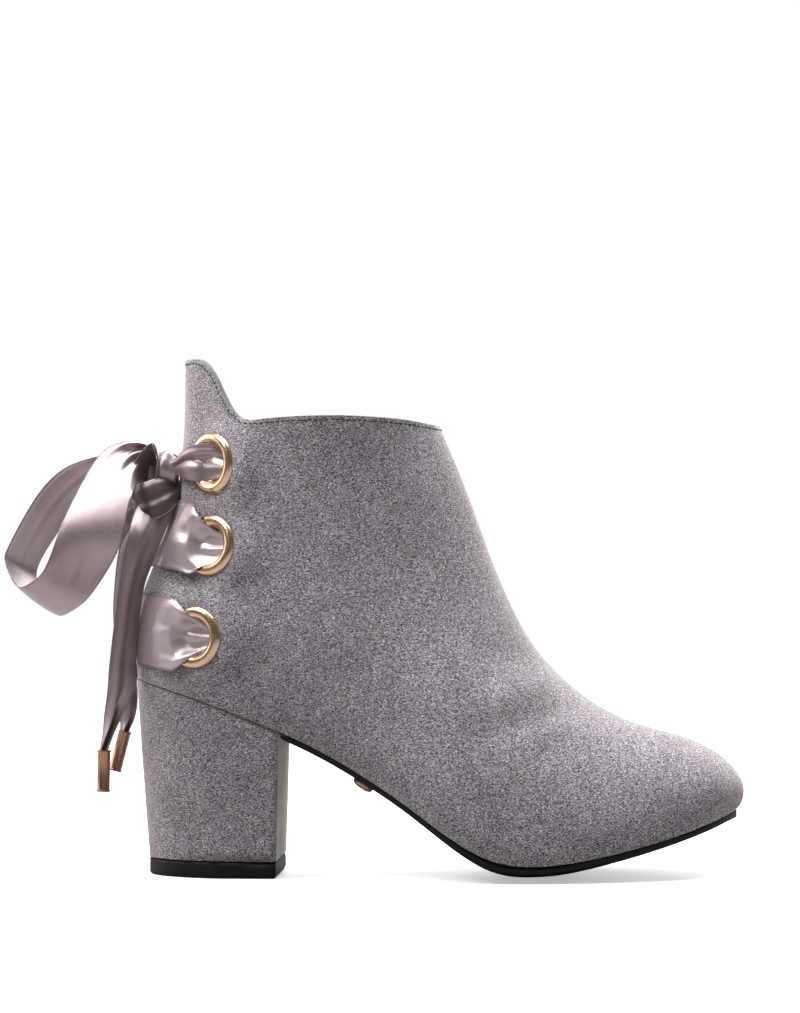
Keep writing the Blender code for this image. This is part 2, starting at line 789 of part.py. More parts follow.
# Ribbon bars round the back: eyelet row, rise at the centre back, share of the ribbon's width
# at the centre back and at the eyelets
bar_table = (
    ("low", 0.0035, 0.95, 0.42),
    ("mid", 0.0055, 0.92, 0.42),
)


def build_bars(finish):
    """Each bar runs over the suede from eyelet to eyelet, gathered to pass through them."""
    for row, rise, wide, narrow in bar_table:
        seat = eyelet_seat[row, "right"][0]
        steps = np.linspace(-1.0, 1.0, 19)
        across = np.linspace(-1.0, 1.0, 5)
        low, high = [], []
        for s in steps:
            side = -1.0 if s < 0 else 1.0
            near = abs(s)
            spread = wide + (narrow - wide) * step_share(near, 0.15, 0.95)
            lift = ribbon_clearance + (eyelet_crest + gap) * step_share(near, 0.25, 0.60)
            row_low, row_high = [], []
            for t in across:
                z = seat[2] + rise * (1.0 - near * near) + 0.5 * t * spread * ribbon_width
                back = float(np.interp(z, back_line_tab[:, 1], back_line_tab[:, 0]))
                x = back + (seat[0] - back) * near ** 1.8
                x = max(x, back + 1e-5)
                point = upper_point(np.array(x), np.array(z), side)
                normal = bar_normal(x, z, side, near)
                row_low.append(point + normal * lift)
                row_high.append(point + normal * (lift + ribbon_thickness))
            low.append(row_low)
            high.append(row_high)
        add_sheet_solid("lace_bar_" + row, low, high, finish)


def bar_normal(x, z, side, near):
    """Outward direction for a bar, straight back at the centre and the suede's own beside it."""
    here = normal_of(upper_point, np.array(x + 0.0006), np.array(z), side)
    back = np.array([-1.0, 0.0, 0.25])
    share = step_share(near, 0.0, 0.30)
    mixed = share * here + (1.0 - share) * back / np.linalg.norm(back)
    return mixed / np.linalg.norm(mixed)


def add_sheet_solid(name, low, high, finish):
    """A closed solid between two sheets of rows."""
    low, high = np.array(low), np.array(high)
    rows, cols = low.shape[:2]
    points = np.vstack([low.reshape(-1, 3), high.reshape(-1, 3)])
    offset = rows * cols
    faces = []
    for r in range(rows - 1):
        for c in range(cols - 1):
            a, b = r * cols + c, r * cols + c + 1
            d, e = (r + 1) * cols + c + 1, (r + 1) * cols + c
            faces.append((a, b, d, e))
            faces.append((offset + e, offset + d, offset + b, offset + a))
    for r in range(rows - 1):
        a, b = r * cols, (r + 1) * cols
        faces.append((a, b, offset + b, offset + a))
        a, b = r * cols + cols - 1, (r + 1) * cols + cols - 1
        faces.append((b, a, offset + a, offset + b))
    for c in range(cols - 1):
        faces.append((c + 1, c, offset + c, offset + c + 1))
        a = (rows - 1) * cols + c
        faces.append((a, a + 1, offset + a + 1, offset + a))
    return add_piece(name, points, faces, finish)


# Bow of ribbon behind the collar. Routes are places in metres, and each row adds the reach
# from the middle of the ribbon to its edge.
knot_centre = (-0.0225, 0.0, 0.1500)
knot_reach = (0.0065, 0.0085, 0.0105)
loop_out_rows = (
    ((-0.0235, -0.0035, 0.1624), (0.0004, 0.0008, -0.0010)),
    ((-0.0276, -0.0050, 0.1624), (0.0005, 0.0020, -0.0040)),
    ((-0.0322, -0.0095, 0.1600), (0.0032, 0.0035, -0.0063)),
    ((-0.0356, -0.0145, 0.1555), (0.0066, 0.0055, -0.0072)),
    ((-0.0391, -0.0190, 0.1486), (0.0089, 0.0070, -0.0057)),
    ((-0.0453, -0.0230, 0.1306), (0.0113, 0.0070, -0.0048)),
    ((-0.0545, -0.0160, 0.1133), (0.0083, 0.0080, -0.0049)),
    ((-0.0625, -0.0080, 0.1066), (0.0066, 0.0090, -0.0058)),
    ((-0.0696, -0.0005, 0.1051), (0.0060, 0.0095, -0.0056)),
    ((-0.0769, 0.0105, 0.1149), (0.0049, 0.0105, -0.0045)),
    ((-0.0759, 0.0130, 0.1233), (0.0046, 0.0110, -0.0031)),
    ((-0.0637, 0.0110, 0.1424), (0.0062, 0.0100, -0.0025)),
    ((-0.0536, 0.0075, 0.1517), (0.0067, 0.0085, -0.0032)),
    ((-0.0434, 0.0040, 0.1569), (0.0057, 0.0070, -0.0030)),
    ((-0.0331, 0.0025, 0.1600), (0.0038, 0.0035, -0.0023)),
    ((-0.0262, 0.0008, 0.1614), (0.0004, 0.0008, -0.0008)),
)
loop_in_rows = (
    ((-0.0281, 0.0058, 0.1500), (-0.0002, 0.0000, 0.0022)),
    ((-0.0365, 0.0140, 0.1465), (-0.0012, 0.0010, 0.0070)),
    ((-0.0455, 0.0245, 0.1465), (-0.0030, 0.0010, 0.0105)),
    ((-0.0500, 0.0350, 0.1455), (-0.0036, 0.0000, 0.0130)),
    ((-0.0480, 0.0440, 0.1415), (-0.0040, -0.0010, 0.0130)),
    ((-0.0420, 0.0470, 0.1395), (-0.0040, -0.0015, 0.0130)),
    ((-0.0360, 0.0425, 0.1400), (-0.0036, -0.0010, 0.0128)),
    ((-0.0320, 0.0330, 0.1425), (-0.0030, 0.0000, 0.0115)),
    ((-0.0290, 0.0220, 0.1460), (-0.0020, 0.0000, 0.0090)),
    ((-0.0256, 0.0096, 0.1505), (-0.0008, 0.0000, 0.0038)),
)
tail_out_rows = (
    ((-0.0222, -0.0087, 0.1450), (0.0050, -0.0020, 0.0006)),
    ((-0.0230, -0.0130, 0.1389), (0.0075, -0.0070, 0.0002)),
    ((-0.0248, -0.0145, 0.1301), (0.0075, -0.0095, -0.0001)),
    ((-0.0273, -0.0145, 0.1208), (0.0066, -0.0105, 0.0001)),
    ((-0.0314, -0.0135, 0.1070), (0.0049, -0.0105, 0.0010)),
    ((-0.0338, -0.0135, 0.0829), (0.0050, -0.0105, 0.0008)),
    ((-0.0343, -0.0130, 0.0725), (0.0056, -0.0090, 0.0012)),
    ((-0.0391, -0.0110, 0.0579), (0.0025, -0.0020, 0.0001)),
    ((-0.0418, -0.0110, 0.0487), (0.0014, 0.0000, 0.0000)),
)
tail_in_rows = (
    ((-0.0252, 0.0078, 0.1444), (0.0030, 0.0034, 0.0003)),
    ((-0.0291, 0.0115, 0.1321), (0.0052, 0.0085, 0.0000)),
    ((-0.0338, 0.0130, 0.1235), (0.0041, 0.0100, -0.0001)),
    ((-0.0374, 0.0140, 0.1048), (0.0024, 0.0110, -0.0003)),
    ((-0.0373, 0.0140, 0.0923), (0.0023, 0.0110, -0.0003)),
    ((-0.0367, 0.0140, 0.0814), (0.0021, 0.0100, -0.0004)),
    ((-0.0349, 0.0125, 0.0725), (0.0024, 0.0075, -0.0007)),
    ((-0.0350, 0.0104, 0.0608), (0.0020, 0.0030, -0.0004)),
    ((-0.0361, 0.0100, 0.0548), (0.0015, 0.0010, -0.0002)),
)
strand_thickness = 0.0026    # a folded end of ribbon
strand_rise = 0.0010         # rise of a strand between its eyelet and the knot
strand_end = (0.0024, 0.0085, 0.0020)         # where it meets the knot, from the knot's centre
strand_reach = (0.0050, 0.0050, 0.0030)


def build_bow(finish):
    """Knot, two loops, two tails and the two strands from the top eyelets."""
    build_knot(finish)
    for name, rows, count in (("lace_loop_right", loop_out_rows, 28), ("lace_loop_left", loop_in_rows, 18),
                              ("lace_tail_right", tail_out_rows, 18), ("lace_tail_left", tail_in_rows, 16)):
        line = rounded_line([(*place, *reach) for place, reach in rows], count)
        band(name, line[:, :3], line[:, 3:], ribbon_thickness, finish)
    for side_name, side in sides:
        centre, normal = eyelet_seat["top", side_name]
        start = centre + normal * (0.5 * eyelet_crest + gap + 0.5 * strand_thickness)
        end = np.array(knot_centre) + np.array(strand_end) * (1.0, side, 1.0)
        middle = 0.5 * (start + end) + normal * strand_rise
        line = rounded_line([start, middle, end], 8)
        reach = rounded_line([(0.0, 0.0, wide) for wide in strand_reach], 8)
        band("lace_strand_" + side_name, line, reach, strand_thickness, finish)


def build_knot(finish):
    """A rounded knot, a little squarer than an egg."""
    around, rings = 14, 8
    points = [(0.0, 0.0, -1.0)]
    for r in range(1, rings):
        lat = math.pi * r / rings - 0.5 * math.pi
        for n in range(around):
            a = 2 * math.pi * n / around
            flat = abs(math.cos(lat)) ** 0.8
            points.append((flat * math.cos(a), flat * math.sin(a), math.sin(lat)))
    points.append((0.0, 0.0, 1.0))
    faces = [(0, 1 + (n + 1) % around, 1 + n) for n in range(around)]
    for r in range(rings - 2):
        for n in range(around):
            m = (n + 1) % around
            a, b = 1 + r * around, 1 + (r + 1) * around
            faces.append((a + n, a + m, b + m, b + n))
    last = 1 + (rings - 2) * around
    faces += [(last + n, last + (n + 1) % around, len(points) - 1) for n in range(around)]
    placed = [tuple(c + p * k for c, p, k in zip(knot_centre, point, knot_reach)) for point in points]
    return add_piece("lace_knot", placed, faces, finish)


def build_aglets(finish):
    """Metal sleeves closed on the ribbon's two ends."""
    for name, rows, hang in (("aglet_right", tail_out_rows, (-0.02, 0.0, -1.0)),
                             ("aglet_left", tail_in_rows, (-0.26, 0.0, -1.0))):
        end = Vector(rows[-1][0])
        way = Vector(hang).normalized()
        start = end + way * (gap + 0.5 * ribbon_thickness)
        matrix = Matrix.Translation(start) @ way.to_track_quat("Z", "Y").to_matrix().to_4x4()
        segments = 12
        points = [matrix @ Vector((aglet_radius * math.cos(a), aglet_radius * math.sin(a), z))
                  for z in (0.0, aglet_length)
                  for a in np.linspace(0, 2 * math.pi, segments, endpoint=False)]
        faces = [tuple(reversed(range(segments))), tuple(range(segments, 2 * segments))]
        faces += [(n, (n + 1) % segments, segments + (n + 1) % segments, segments + n)
                  for n in range(segments)]
        add_piece(name, points, faces, finish)


def build_plate(finish):
    """A small blank oval plate on the outsole under the waist."""
    x = heel_back + plate_place * boot_length
    y = float(centre_y(x, feather_z(x))) - plate_offset * half_ball
    share = (y - float(centre_y(x, feather_z(x)))) / float(half_width(np.array(x), feather_z(x)))
    d = 0.25 * plate_length
    way = Vector((2 * d, 0.0, float(sole_top(x + d, share) - sole_top(x - d, share)))).normalized()
    down = way.cross(Vector((0.0, 1.0, 0.0))).normalized()
    down = down if down.z < 0 else -down
    seat = Vector((x, y, float(sole_top(x, share)))) + down * (sole_thickness + gap)
    side = Vector((0.0, 1.0, 0.0))
    segments = 16
    points, faces = [], []
    for depth, shrink in ((0.0, 1.0), (0.55, 0.92), (0.9, 0.6)):
        for n in range(segments):
            a = 2 * math.pi * n / segments
            points.append(seat + way * (0.5 * plate_length * shrink * math.cos(a))
                          + side * (0.5 * plate_width * shrink * math.sin(a))
                          + down * (plate_thickness * depth))
    for level in range(2):
        for n in range(segments):
            m = (n + 1) % segments
            a, b = level * segments, (level + 1) * segments
            faces.append((a + n, a + m, b + m, b + n))
    faces.append(tuple(reversed(range(segments))))
    faces.append(tuple(range(2 * segments, 3 * segments)))
    return add_piece("sole_plate", points, faces, finish)


def main():
    remove_scene_objects()
    suede = material("grey_suede", (0.250, 0.228, 0.245), 0.92)
    black = material("black_rubber", (0.012, 0.012, 0.013), 0.42)
    board = material("insole_lining", (0.420, 0.370, 0.330), 0.75)
    brass = material("polished_brass", (0.780, 0.520, 0.260), 0.20, 1.0)
    satin = material("satin_ribbon", (0.380, 0.300, 0.295), 0.38)
    copper = material("brushed_copper", (0.560, 0.330, 0.220), 0.32, 1.0)
    build_upper(suede)
    build_outsole(black)
    build_insole(board)
    build_heel(suede)
    build_top_piece(black)
    build_eyelets(brass)
    build_bars(satin)
    build_bow(satin)
    build_aglets(copper)
    build_plate(brass)


main()
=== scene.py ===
import math

import bmesh
import bpy
import numpy as np
from mathutils import Matrix, Vector
from mathutils.bvhtree import BVHTree


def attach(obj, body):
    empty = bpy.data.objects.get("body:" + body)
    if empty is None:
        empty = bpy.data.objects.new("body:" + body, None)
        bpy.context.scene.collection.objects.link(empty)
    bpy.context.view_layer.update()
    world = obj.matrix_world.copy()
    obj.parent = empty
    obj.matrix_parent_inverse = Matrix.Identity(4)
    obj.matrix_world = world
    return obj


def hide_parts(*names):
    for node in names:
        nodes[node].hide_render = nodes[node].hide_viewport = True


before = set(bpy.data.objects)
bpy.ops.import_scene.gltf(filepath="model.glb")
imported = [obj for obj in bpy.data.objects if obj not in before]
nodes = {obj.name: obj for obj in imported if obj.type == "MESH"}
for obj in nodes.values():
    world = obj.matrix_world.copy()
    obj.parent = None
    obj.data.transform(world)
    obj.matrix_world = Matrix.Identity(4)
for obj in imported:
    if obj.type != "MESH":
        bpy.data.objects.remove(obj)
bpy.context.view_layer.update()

print("frame loaded")


# Camera: it looks at the boot's outer side, a touch from behind square
viewLook = {
    "yaw": 3.0,                    # degrees
    "distance": 1.5,
    "pixelsPerMetre": 2600.0,
    "frameWidth": 800,
    "middlePixel": (400.0, 506.5),
    "heelPixel": (215.0, 873.7),   # where the middle of the heel meets the floor
    "sensor": 36.0,
}


def placeCamera():
    look = viewLook
    yaw = math.radians(look["yaw"])
    scale = look["pixelsPerMetre"]
    target = Vector(((look["middlePixel"][0] - look["heelPixel"][0]) / scale, 0.0,
                     (look["heelPixel"][1] - look["middlePixel"][1]) / scale))
    bpy.ops.object.camera_add()
    camera = bpy.context.object
    camera.location = target + Vector((math.sin(yaw), -math.cos(yaw), 0.0)) * look["distance"]
    camera.rotation_euler = (math.radians(90.0), 0.0, yaw)
    camera.data.sensor_fit = "HORIZONTAL"
    camera.data.sensor_width = look["sensor"]
    camera.data.lens = look["sensor"] * look["distance"] / (look["frameWidth"] / scale)
    camera.data.clip_start = 0.01
    bpy.context.scene.camera = camera


placeCamera()


# Small helpers for the pieces
def dropSelection():
    bpy.ops.object.select_all(action="DESELECT")


def makeActive(piece):
    dropSelection()
    piece.select_set(True)
    bpy.context.view_layer.objects.active = piece


def applyModifier(piece, name):
    makeActive(piece)
    bpy.ops.object.modifier_apply(modifier=name)


def applyPlace(piece):
    makeActive(piece)
    bpy.ops.object.transform_apply(location=True, rotation=True, scale=True)


def smoothShade(piece, degrees=180.0):
    makeActive(piece)
    bpy.ops.object.shade_smooth_by_angle(angle=math.radians(degrees))


def mergedCopy(node, name):
    piece = nodes[node].copy()
    piece.data = nodes[node].data.copy()
    for key in list(piece.keys()):
        del piece[key]
    piece.parent = None
    piece.name = name
    piece.data.name = name
    bpy.context.scene.collection.objects.link(piece)
    piece.hide_render = False
    piece.hide_viewport = False
    makeActive(piece)
    bpy.ops.mesh.customdata_custom_splitnormals_clear()
    bpy.ops.object.mode_set(mode="EDIT")
    bpy.ops.mesh.select_all(action="SELECT")
    bpy.ops.mesh.remove_doubles(threshold=0.00001)
    bpy.ops.mesh.tris_convert_to_quads(face_threshold=math.radians(35),
                                       shape_threshold=math.radians(60))
    bpy.ops.object.mode_set(mode="OBJECT")
    piece.data.materials.clear()
    return piece


def creaseSharpEdges(piece, degrees, amount):
    mesh = piece.data
    work = bmesh.new()
    work.from_mesh(mesh)
    layer = work.edges.layers.float.get("crease_edge") or work.edges.layers.float.new("crease_edge")
    for edge in work.edges:
        if len(edge.link_faces) == 2 and edge.calc_face_angle() > math.radians(degrees):
            edge[layer] = amount
    work.to_mesh(mesh)
    work.free()


def subdivide(piece, levels):
    more = piece.modifiers.new("smooth", "SUBSURF")
    more.levels = levels
    more.render_levels = levels
    applyModifier(piece, "smooth")


def softStep(value, low, high):
    t = np.clip((value - low) / (high - low), 0.0, 1.0)
    return t * t * (3.0 - 2.0 * t)


def smoothRows(rows, count):
    points = np.array([(*place, *half) for place, half in rows], dtype=float)
    padded = np.vstack([2 * points[0] - points[1], points, 2 * points[-1] - points[-2]])
    spans = len(points) - 1
    line = []
    for place in np.linspace(0.0, spans, count):
        i = min(int(place), spans - 1)
        t = place - i
        a, b, c, d = padded[i:i + 4]
        line.append(0.5 * (2 * b + (c - a) * t + (2 * a - 5 * b + 4 * c - d) * t * t
                           + (3 * b - a - 3 * c + d) * t ** 3))
    return np.array(line)


# Shared shader groups
def newGroup(name, ins, outs):
    group = bpy.data.node_groups.new(name, "ShaderNodeTree")
    for label, kind, value in ins:
        socket = group.interface.new_socket(name=label, in_out="INPUT", socket_type=kind)
        if value is not None:
            socket.default_value = value
    for label, kind in outs:
        group.interface.new_socket(name=label, in_out="OUTPUT", socket_type=kind)
    start = group.nodes.new("NodeGroupInput")
    end = group.nodes.new("NodeGroupOutput")
    return group, start, end


def addNode(tree, kind, inputs, **settings):
    node = tree.nodes.new("ShaderNode" + kind)
    for name, value in settings.items():
        setattr(node, name, value)
    for name, value in inputs.items():
        if isinstance(value, bpy.types.NodeSocket):
            tree.links.new(value, node.inputs[name])
        else:
            node.inputs[name].default_value = value
    return node


def mathNode(tree, operation, *values):
    return addNode(tree, "Math", dict(enumerate(values)), operation=operation).outputs[0]


def noise(tree, vector, scale, detail=2.0, roughness=0.5, distortion=0.0):
    return addNode(tree, "TexNoise", {"Vector": vector, "Scale": scale, "Detail": detail,
                                      "Roughness": roughness, "Distortion": distortion}).outputs["Fac"]


def spread(tree, value, low, high):
    return addNode(tree, "MapRange", {"From Min": low, "From Max": high, "Value": value},
                   interpolation_type="SMOOTHSTEP").outputs["Result"]


def turned(tree, vector, degrees, scale):
    return addNode(tree, "Mapping", {"Rotation": [math.radians(a) for a in degrees], "Scale": scale,
                                     "Vector": vector}).outputs["Vector"]


napLook = {
    "strokeTurn": (0.0, 35.0, 0.0),     # degrees
    "strokeShape": (1.0, 1.0, 2.1),
    "coarse": 1500.0,
    "fine": 3400.0,
    "coarseShare": 0.78,
    "fineShare": 0.22,
    "cloudWide": 22.0,
    "cloudSmall": 130.0,
    "cloudTurn": (0.0, 30.0, 0.0),
    "cloudShape": (1.0, 1.0, 0.6),
    "wideShare": 0.55,
    "smallShare": 0.45,
    "tips": 1750.0,
    "tipTurn": (0.0, -50.0, 0.0),
    "tipShape": (1.0, 1.0, 1.8),
    "fleckRange": (0.42, 0.60),
    "tipRange": (0.60, 0.72),
    "cloudRange": (0.34, 0.66),
}


def blend(tree, first, firstShare, second, secondShare):
    return mathNode(tree, "ADD", mathNode(tree, "MULTIPLY", first, firstShare),
                    mathNode(tree, "MULTIPLY", second, secondShare))


def buildNapGroup():
    look = napLook
    group, start, end = newGroup(
        "suedeNap",
        [("Vector", "NodeSocketVector", None)],
        [("Fleck", "NodeSocketFloat"), ("Spark", "NodeSocketFloat"), ("Cloud", "NodeSocketFloat"),
         ("Height", "NodeSocketFloat")])
    place = start.outputs["Vector"]
    strokes = turned(group, place, look["strokeTurn"], look["strokeShape"])
    coarse = noise(group, strokes, look["coarse"], 1.0, 0.5, 0.9)
    fine = noise(group, place, look["fine"], 1.0, 0.5)
    fleck = blend(group, coarse, look["coarseShare"], fine, look["fineShare"])
    wide = noise(group, place, look["cloudWide"], 2.0, 0.5)
    brushed = turned(group, place, look["cloudTurn"], look["cloudShape"])
    small = noise(group, brushed, look["cloudSmall"], 3.0, 0.6)
    cloud = blend(group, wide, look["wideShare"], small, look["smallShare"])
    hairs = turned(group, place, look["tipTurn"], look["tipShape"])
    tips = noise(group, hairs, look["tips"], 0.0, 0.5, 0.6)
    group.links.new(spread(group, fleck, *look["fleckRange"]), end.inputs["Fleck"])
    group.links.new(spread(group, tips, *look["tipRange"]), end.inputs["Spark"])
    group.links.new(spread(group, cloud, *look["cloudRange"]), end.inputs["Cloud"])
    group.links.new(fleck, end.inputs["Height"])
    return group


def buildWeaveGroup():
    group, start, end = newGroup(
        "fineWeave",
        [("Vector", "NodeSocketVector", None), ("Pitch", "NodeSocketFloat", 0.0003)],
        [("Height", "NodeSocketFloat")])
    split = addNode(group, "SeparateXYZ", {"Vector": start.outputs["Vector"]})
    turns = []
    for axis in ("X", "Y"):
        along = mathNode(group, "DIVIDE", split.outputs[axis], start.outputs["Pitch"])
        turns.append(mathNode(group, "SINE", mathNode(group, "MULTIPLY", along, 2.0 * math.pi)))
    group.links.new(blend(group, turns[0], 0.35, turns[1], 0.65), end.inputs["Height"])
    return group


def buildScratchGroup():
    group, start, end = newGroup(
        "hairlines",
        [("Vector", "NodeSocketVector", None)],
        [("Streak", "NodeSocketFloat"), ("Height", "NodeSocketFloat")])
    drawn = turned(group, start.outputs["Vector"], (0.0, 0.0, 0.0), (1.0, 1.0, 0.04))
    streak = noise(group, drawn, 2600.0, 2.0, 0.6)
    spots = noise(group, start.outputs["Vector"], 420.0, 2.0, 0.5)
    group.links.new(spread(group, streak, 0.35, 0.65), end.inputs["Streak"])
    group.links.new(mathNode(group, "MULTIPLY", streak, spots), end.inputs["Height"])
    return group


napGroup = buildNapGroup()
weaveGroup = buildWeaveGroup()
scratchGroup = buildScratchGroup()


# Materials
def newMaterial(name, roughness, metallic=0.0, coat=0.0, sheen=0.0, sheenTint=(1.0, 1.0, 1.0)):
    made = bpy.data.materials.new(name)
    made.use_nodes = True
    tree = made.node_tree
    shader = tree.nodes["Principled BSDF"]
    shader.inputs["Roughness"].default_value = roughness
    shader.inputs["Metallic"].default_value = metallic
    shader.inputs["Coat Weight"].default_value = coat
    shader.inputs["Coat Roughness"].default_value = 0.25
    shader.inputs["Sheen Weight"].default_value = sheen
    shader.inputs["Sheen Roughness"].default_value = 0.45
    shader.inputs["Sheen Tint"].default_value = (*sheenTint, 1.0)
    return made, tree, shader


def placeGroup(tree, group, inputs):
    return addNode(tree, "Group", inputs, node_tree=group).outputs


def mixColour(tree, share, first, second, kind="MIX"):
    first, second = ((*c, 1.0) if isinstance(c, tuple) else c for c in (first, second))
    return addNode(tree, "Mix", {"Factor": share, 6: first, 7: second}, data_type="RGBA",
                   blend_type=kind).outputs[2]


def bump(tree, shader, height, distance, strength):
    node = addNode(tree, "Bump", {"Distance": distance, "Strength": strength, "Height": height})
    tree.links.new(node.outputs["Normal"], shader.inputs["Normal"])


suedeLook = {
    "dark": (0.026, 0.024, 0.027),
    "light": (0.320, 0.297, 0.320),
    "tips": (0.560, 0.530, 0.560),
    "cloudDark": (0.84, 0.83, 0.84),
    "cloudLight": (1.14, 1.13, 1.13),
    "roughness": 0.95,
    "sheen": 0.55,
    "sheenTint": (0.98, 0.88, 0.90),
    "nap": 0.00045,                # height of the nap's bump
}
# the heel's front face: paler than the rest, partly its own warmer beige and partly painted light, as this
# face gets little lamp light
breastLook = dict(suedeLook, dark=(0.620, 0.545, 0.470), light=(0.950, 0.860, 0.750),
                  tips=(0.800, 0.750, 0.680), sheen=0.30)


def suedeMaterial(name, look):
    made, tree, shader = newMaterial(name, look["roughness"], 0.0, 0.0, look["sheen"], look["sheenTint"])
    coords = addNode(tree, "TexCoord", {})
    nap = placeGroup(tree, napGroup, {"Vector": coords.outputs["Object"]})
    flecked = mixColour(tree, nap["Fleck"], look["dark"], look["light"])
    flecked = mixColour(tree, nap["Spark"], flecked, look["tips"])
    shade = mixColour(tree, nap["Cloud"], look["cloudDark"], look["cloudLight"])
    tree.links.new(mixColour(tree, 1.0, flecked, shade, "MULTIPLY"), shader.inputs["Base Color"])
    bump(tree, shader, nap["Height"], look["nap"], 0.9)
    return made


def plainMaterial(name, colour, roughness, grain, height):
    made, tree, shader = newMaterial(name, roughness)
    coords = addNode(tree, "TexCoord", {})
    tone = noise(tree, coords.outputs["Object"], grain, 3.0, 0.6)
    dark = tuple(c * 0.78 for c in colour)
    light = tuple(min(c * 1.18, 1.0) for c in colour)
    shade = spread(tree, tone, 0.35, 0.65)
    tree.links.new(mixColour(tree, shade, dark, light), shader.inputs["Base Color"])
    bump(tree, shader, tone, height, 0.6)
    return made


satinLook = {
    "colour": (0.335, 0.264, 0.268),
    "shade": (0.285, 0.222, 0.225),
    "picot": (0.100, 0.076, 0.076),
    "roughness": 0.32,
    "gloss": 0.70,                 # how much of the light it throws back as thread, not as cloth
    "picotPitch": 0.0009,
    "picotFrom": 0.0011,           # how far in from the ribbon's edge the picots start and are full
    "picotFull": 0.0007,
    "width": 0.0280,
    "threadPitch": 0.00028,
    "threadHeight": 0.000018,
}
# the same ribbon in painted copies: the bars' paler colour is painted light, and the knot's outer turn's
# darker colour is painted shade, with pale picots there as a painted rim light
paintedLightSatinLook = dict(satinLook, colour=(0.460, 0.385, 0.395), shade=(0.400, 0.332, 0.342), gloss=0.55)
deepSatinLook = dict(satinLook, colour=(0.120, 0.092, 0.092), shade=(0.085, 0.065, 0.065),
                     picot=(0.450, 0.400, 0.400), gloss=0.55)


def satinMaterial(name, look):
    made, tree, shader = newMaterial(name, look["roughness"], look["gloss"], 0.10, 0.10, (0.95, 0.85, 0.85))
    uv = addNode(tree, "UVMap", {}, uv_map="ribbon").outputs["UV"]
    weave = placeGroup(tree, weaveGroup, {"Vector": uv, "Pitch": look["threadPitch"]})
    split = addNode(tree, "SeparateXYZ", {"Vector": uv})
    fromMiddle = mathNode(tree, "ABSOLUTE", split.outputs["X"])
    edge = spread(tree, fromMiddle, 0.5 * look["width"] - look["picotFrom"],
                  0.5 * look["width"] - look["picotFull"])
    pitch = mathNode(tree, "DIVIDE", split.outputs["Y"], look["picotPitch"])
    dots = spread(tree, mathNode(tree, "SINE", mathNode(tree, "MULTIPLY", pitch, 2.0 * math.pi)), -0.3, 0.5)
    drawn = turned(tree, uv, (0.0, 0.0, 0.0), (1.0, 0.05, 1.0))
    streaks = noise(tree, drawn, 2600.0, 2.0, 0.6)
    body = mixColour(tree, spread(tree, streaks, 0.3, 0.7), look["shade"], look["colour"])
    edged = mixColour(tree, mathNode(tree, "MULTIPLY", edge, dots), body, look["picot"])
    tree.links.new(edged, shader.inputs["Base Color"])
    bump(tree, shader, weave["Height"], look["threadHeight"], 0.5)
    return made


def metalMaterial(name, colour, roughness, height):
    made, tree, shader = newMaterial(name, roughness, 1.0)
    coords = addNode(tree, "TexCoord", {})
    lines = placeGroup(tree, scratchGroup, {"Vector": coords.outputs["Object"]})
    dark = tuple(c * 0.86 for c in colour)
    tree.links.new(mixColour(tree, lines["Streak"], dark, colour), shader.inputs["Base Color"])
    rough = addNode(tree, "MapRange", {"To Min": roughness * 0.8, "To Max": roughness * 1.5,
                                       "Value": lines["Streak"]})
    tree.links.new(rough.outputs["Result"], shader.inputs["Roughness"])
    bump(tree, shader, lines["Height"], height, 0.4)
    return made


finishes = {
    "suede": suedeMaterial("greySuede", suedeLook),
    # paler suede for the heel's front face, partly painted light
    "breast": suedeMaterial("breastSuedePaintedLight", breastLook),
    "lining": plainMaterial("pinkishLining", (0.420, 0.370, 0.340), 0.8, 2600.0, 0.00002),
    "edge": plainMaterial("cutSuedeEdge", (0.110, 0.100, 0.108), 0.95, 1500.0, 0.0001),
    # near-black thread: partly the thread's colour, partly painted shade of the groove the stitch row sits
    # in
    "thread": plainMaterial("nearBlackThreadPaintedGrooveShade", (0.012, 0.011, 0.012), 0.7, 2500.0, 0.00005),
    "satin": satinMaterial("mauveSatin", satinLook),
    # lit and shaded copies of the satin: the paler one is painted light, the darker one painted shade
    "paintedLightSatin": satinMaterial("mauveSatinPaintedLight", paintedLightSatinLook),
    "deepSatin": satinMaterial("deepMauveSatin", deepSatinLook),
    "brass": metalMaterial("polishedBrass", (0.66, 0.455, 0.285), 0.17, 0.00001),
    "copper": metalMaterial("brushedCopper", (0.42, 0.245, 0.160), 0.24, 0.00002),
    "rubber": plainMaterial("blackRubber", (0.003, 0.003, 0.0035), 0.55, 1200.0, 0.00003),
    "board": plainMaterial("insoleCover", (0.450, 0.400, 0.360), 0.7, 2200.0, 0.00003),
}
finishes["rubber"].node_tree.nodes["Principled BSDF"].inputs["Specular IOR Level"].default_value = 0.22
print("materials made")


# Seats of the eyelets, found from the rings in the frame
eyeletLook = {
    "outer": 0.0119,
    "hole": 0.0072,
    "crest": 0.0019,
    "barrel": 0.0007,
    "wall": 0.0020,
    "washer": 0.0026,
    "gap": 0.0003,
    "segments": 72,
    "tubeSegments": 20,
}


def ringSeat(node):
    points = np.array([tuple(v.co) for v in nodes[node].data.vertices])
    centre = 0.5 * (points.min(axis=0) + points.max(axis=0))
    points = np.unique(np.round(points, 6), axis=0)
    away = points - points.mean(axis=0)
    normal = np.linalg.svd(away, full_matrices=False)[2][2]
    side = -1.0 if centre[1] < 0 else 1.0
    normal = normal * (1.0 if normal[1] * side > 0 else -1.0)
    height = (points - points.mean(axis=0)) @ normal
    top = points.mean(axis=0) + normal * height.max()
    face = Vector(top) - Vector(normal) * eyeletLook["crest"]
    return face, Vector(normal)


eyeletNames = [row + "_" + side for row in ("low", "mid", "top") for side in ("left", "right")]
seats = {name: ringSeat("eyelet_" + name) for name in eyeletNames}


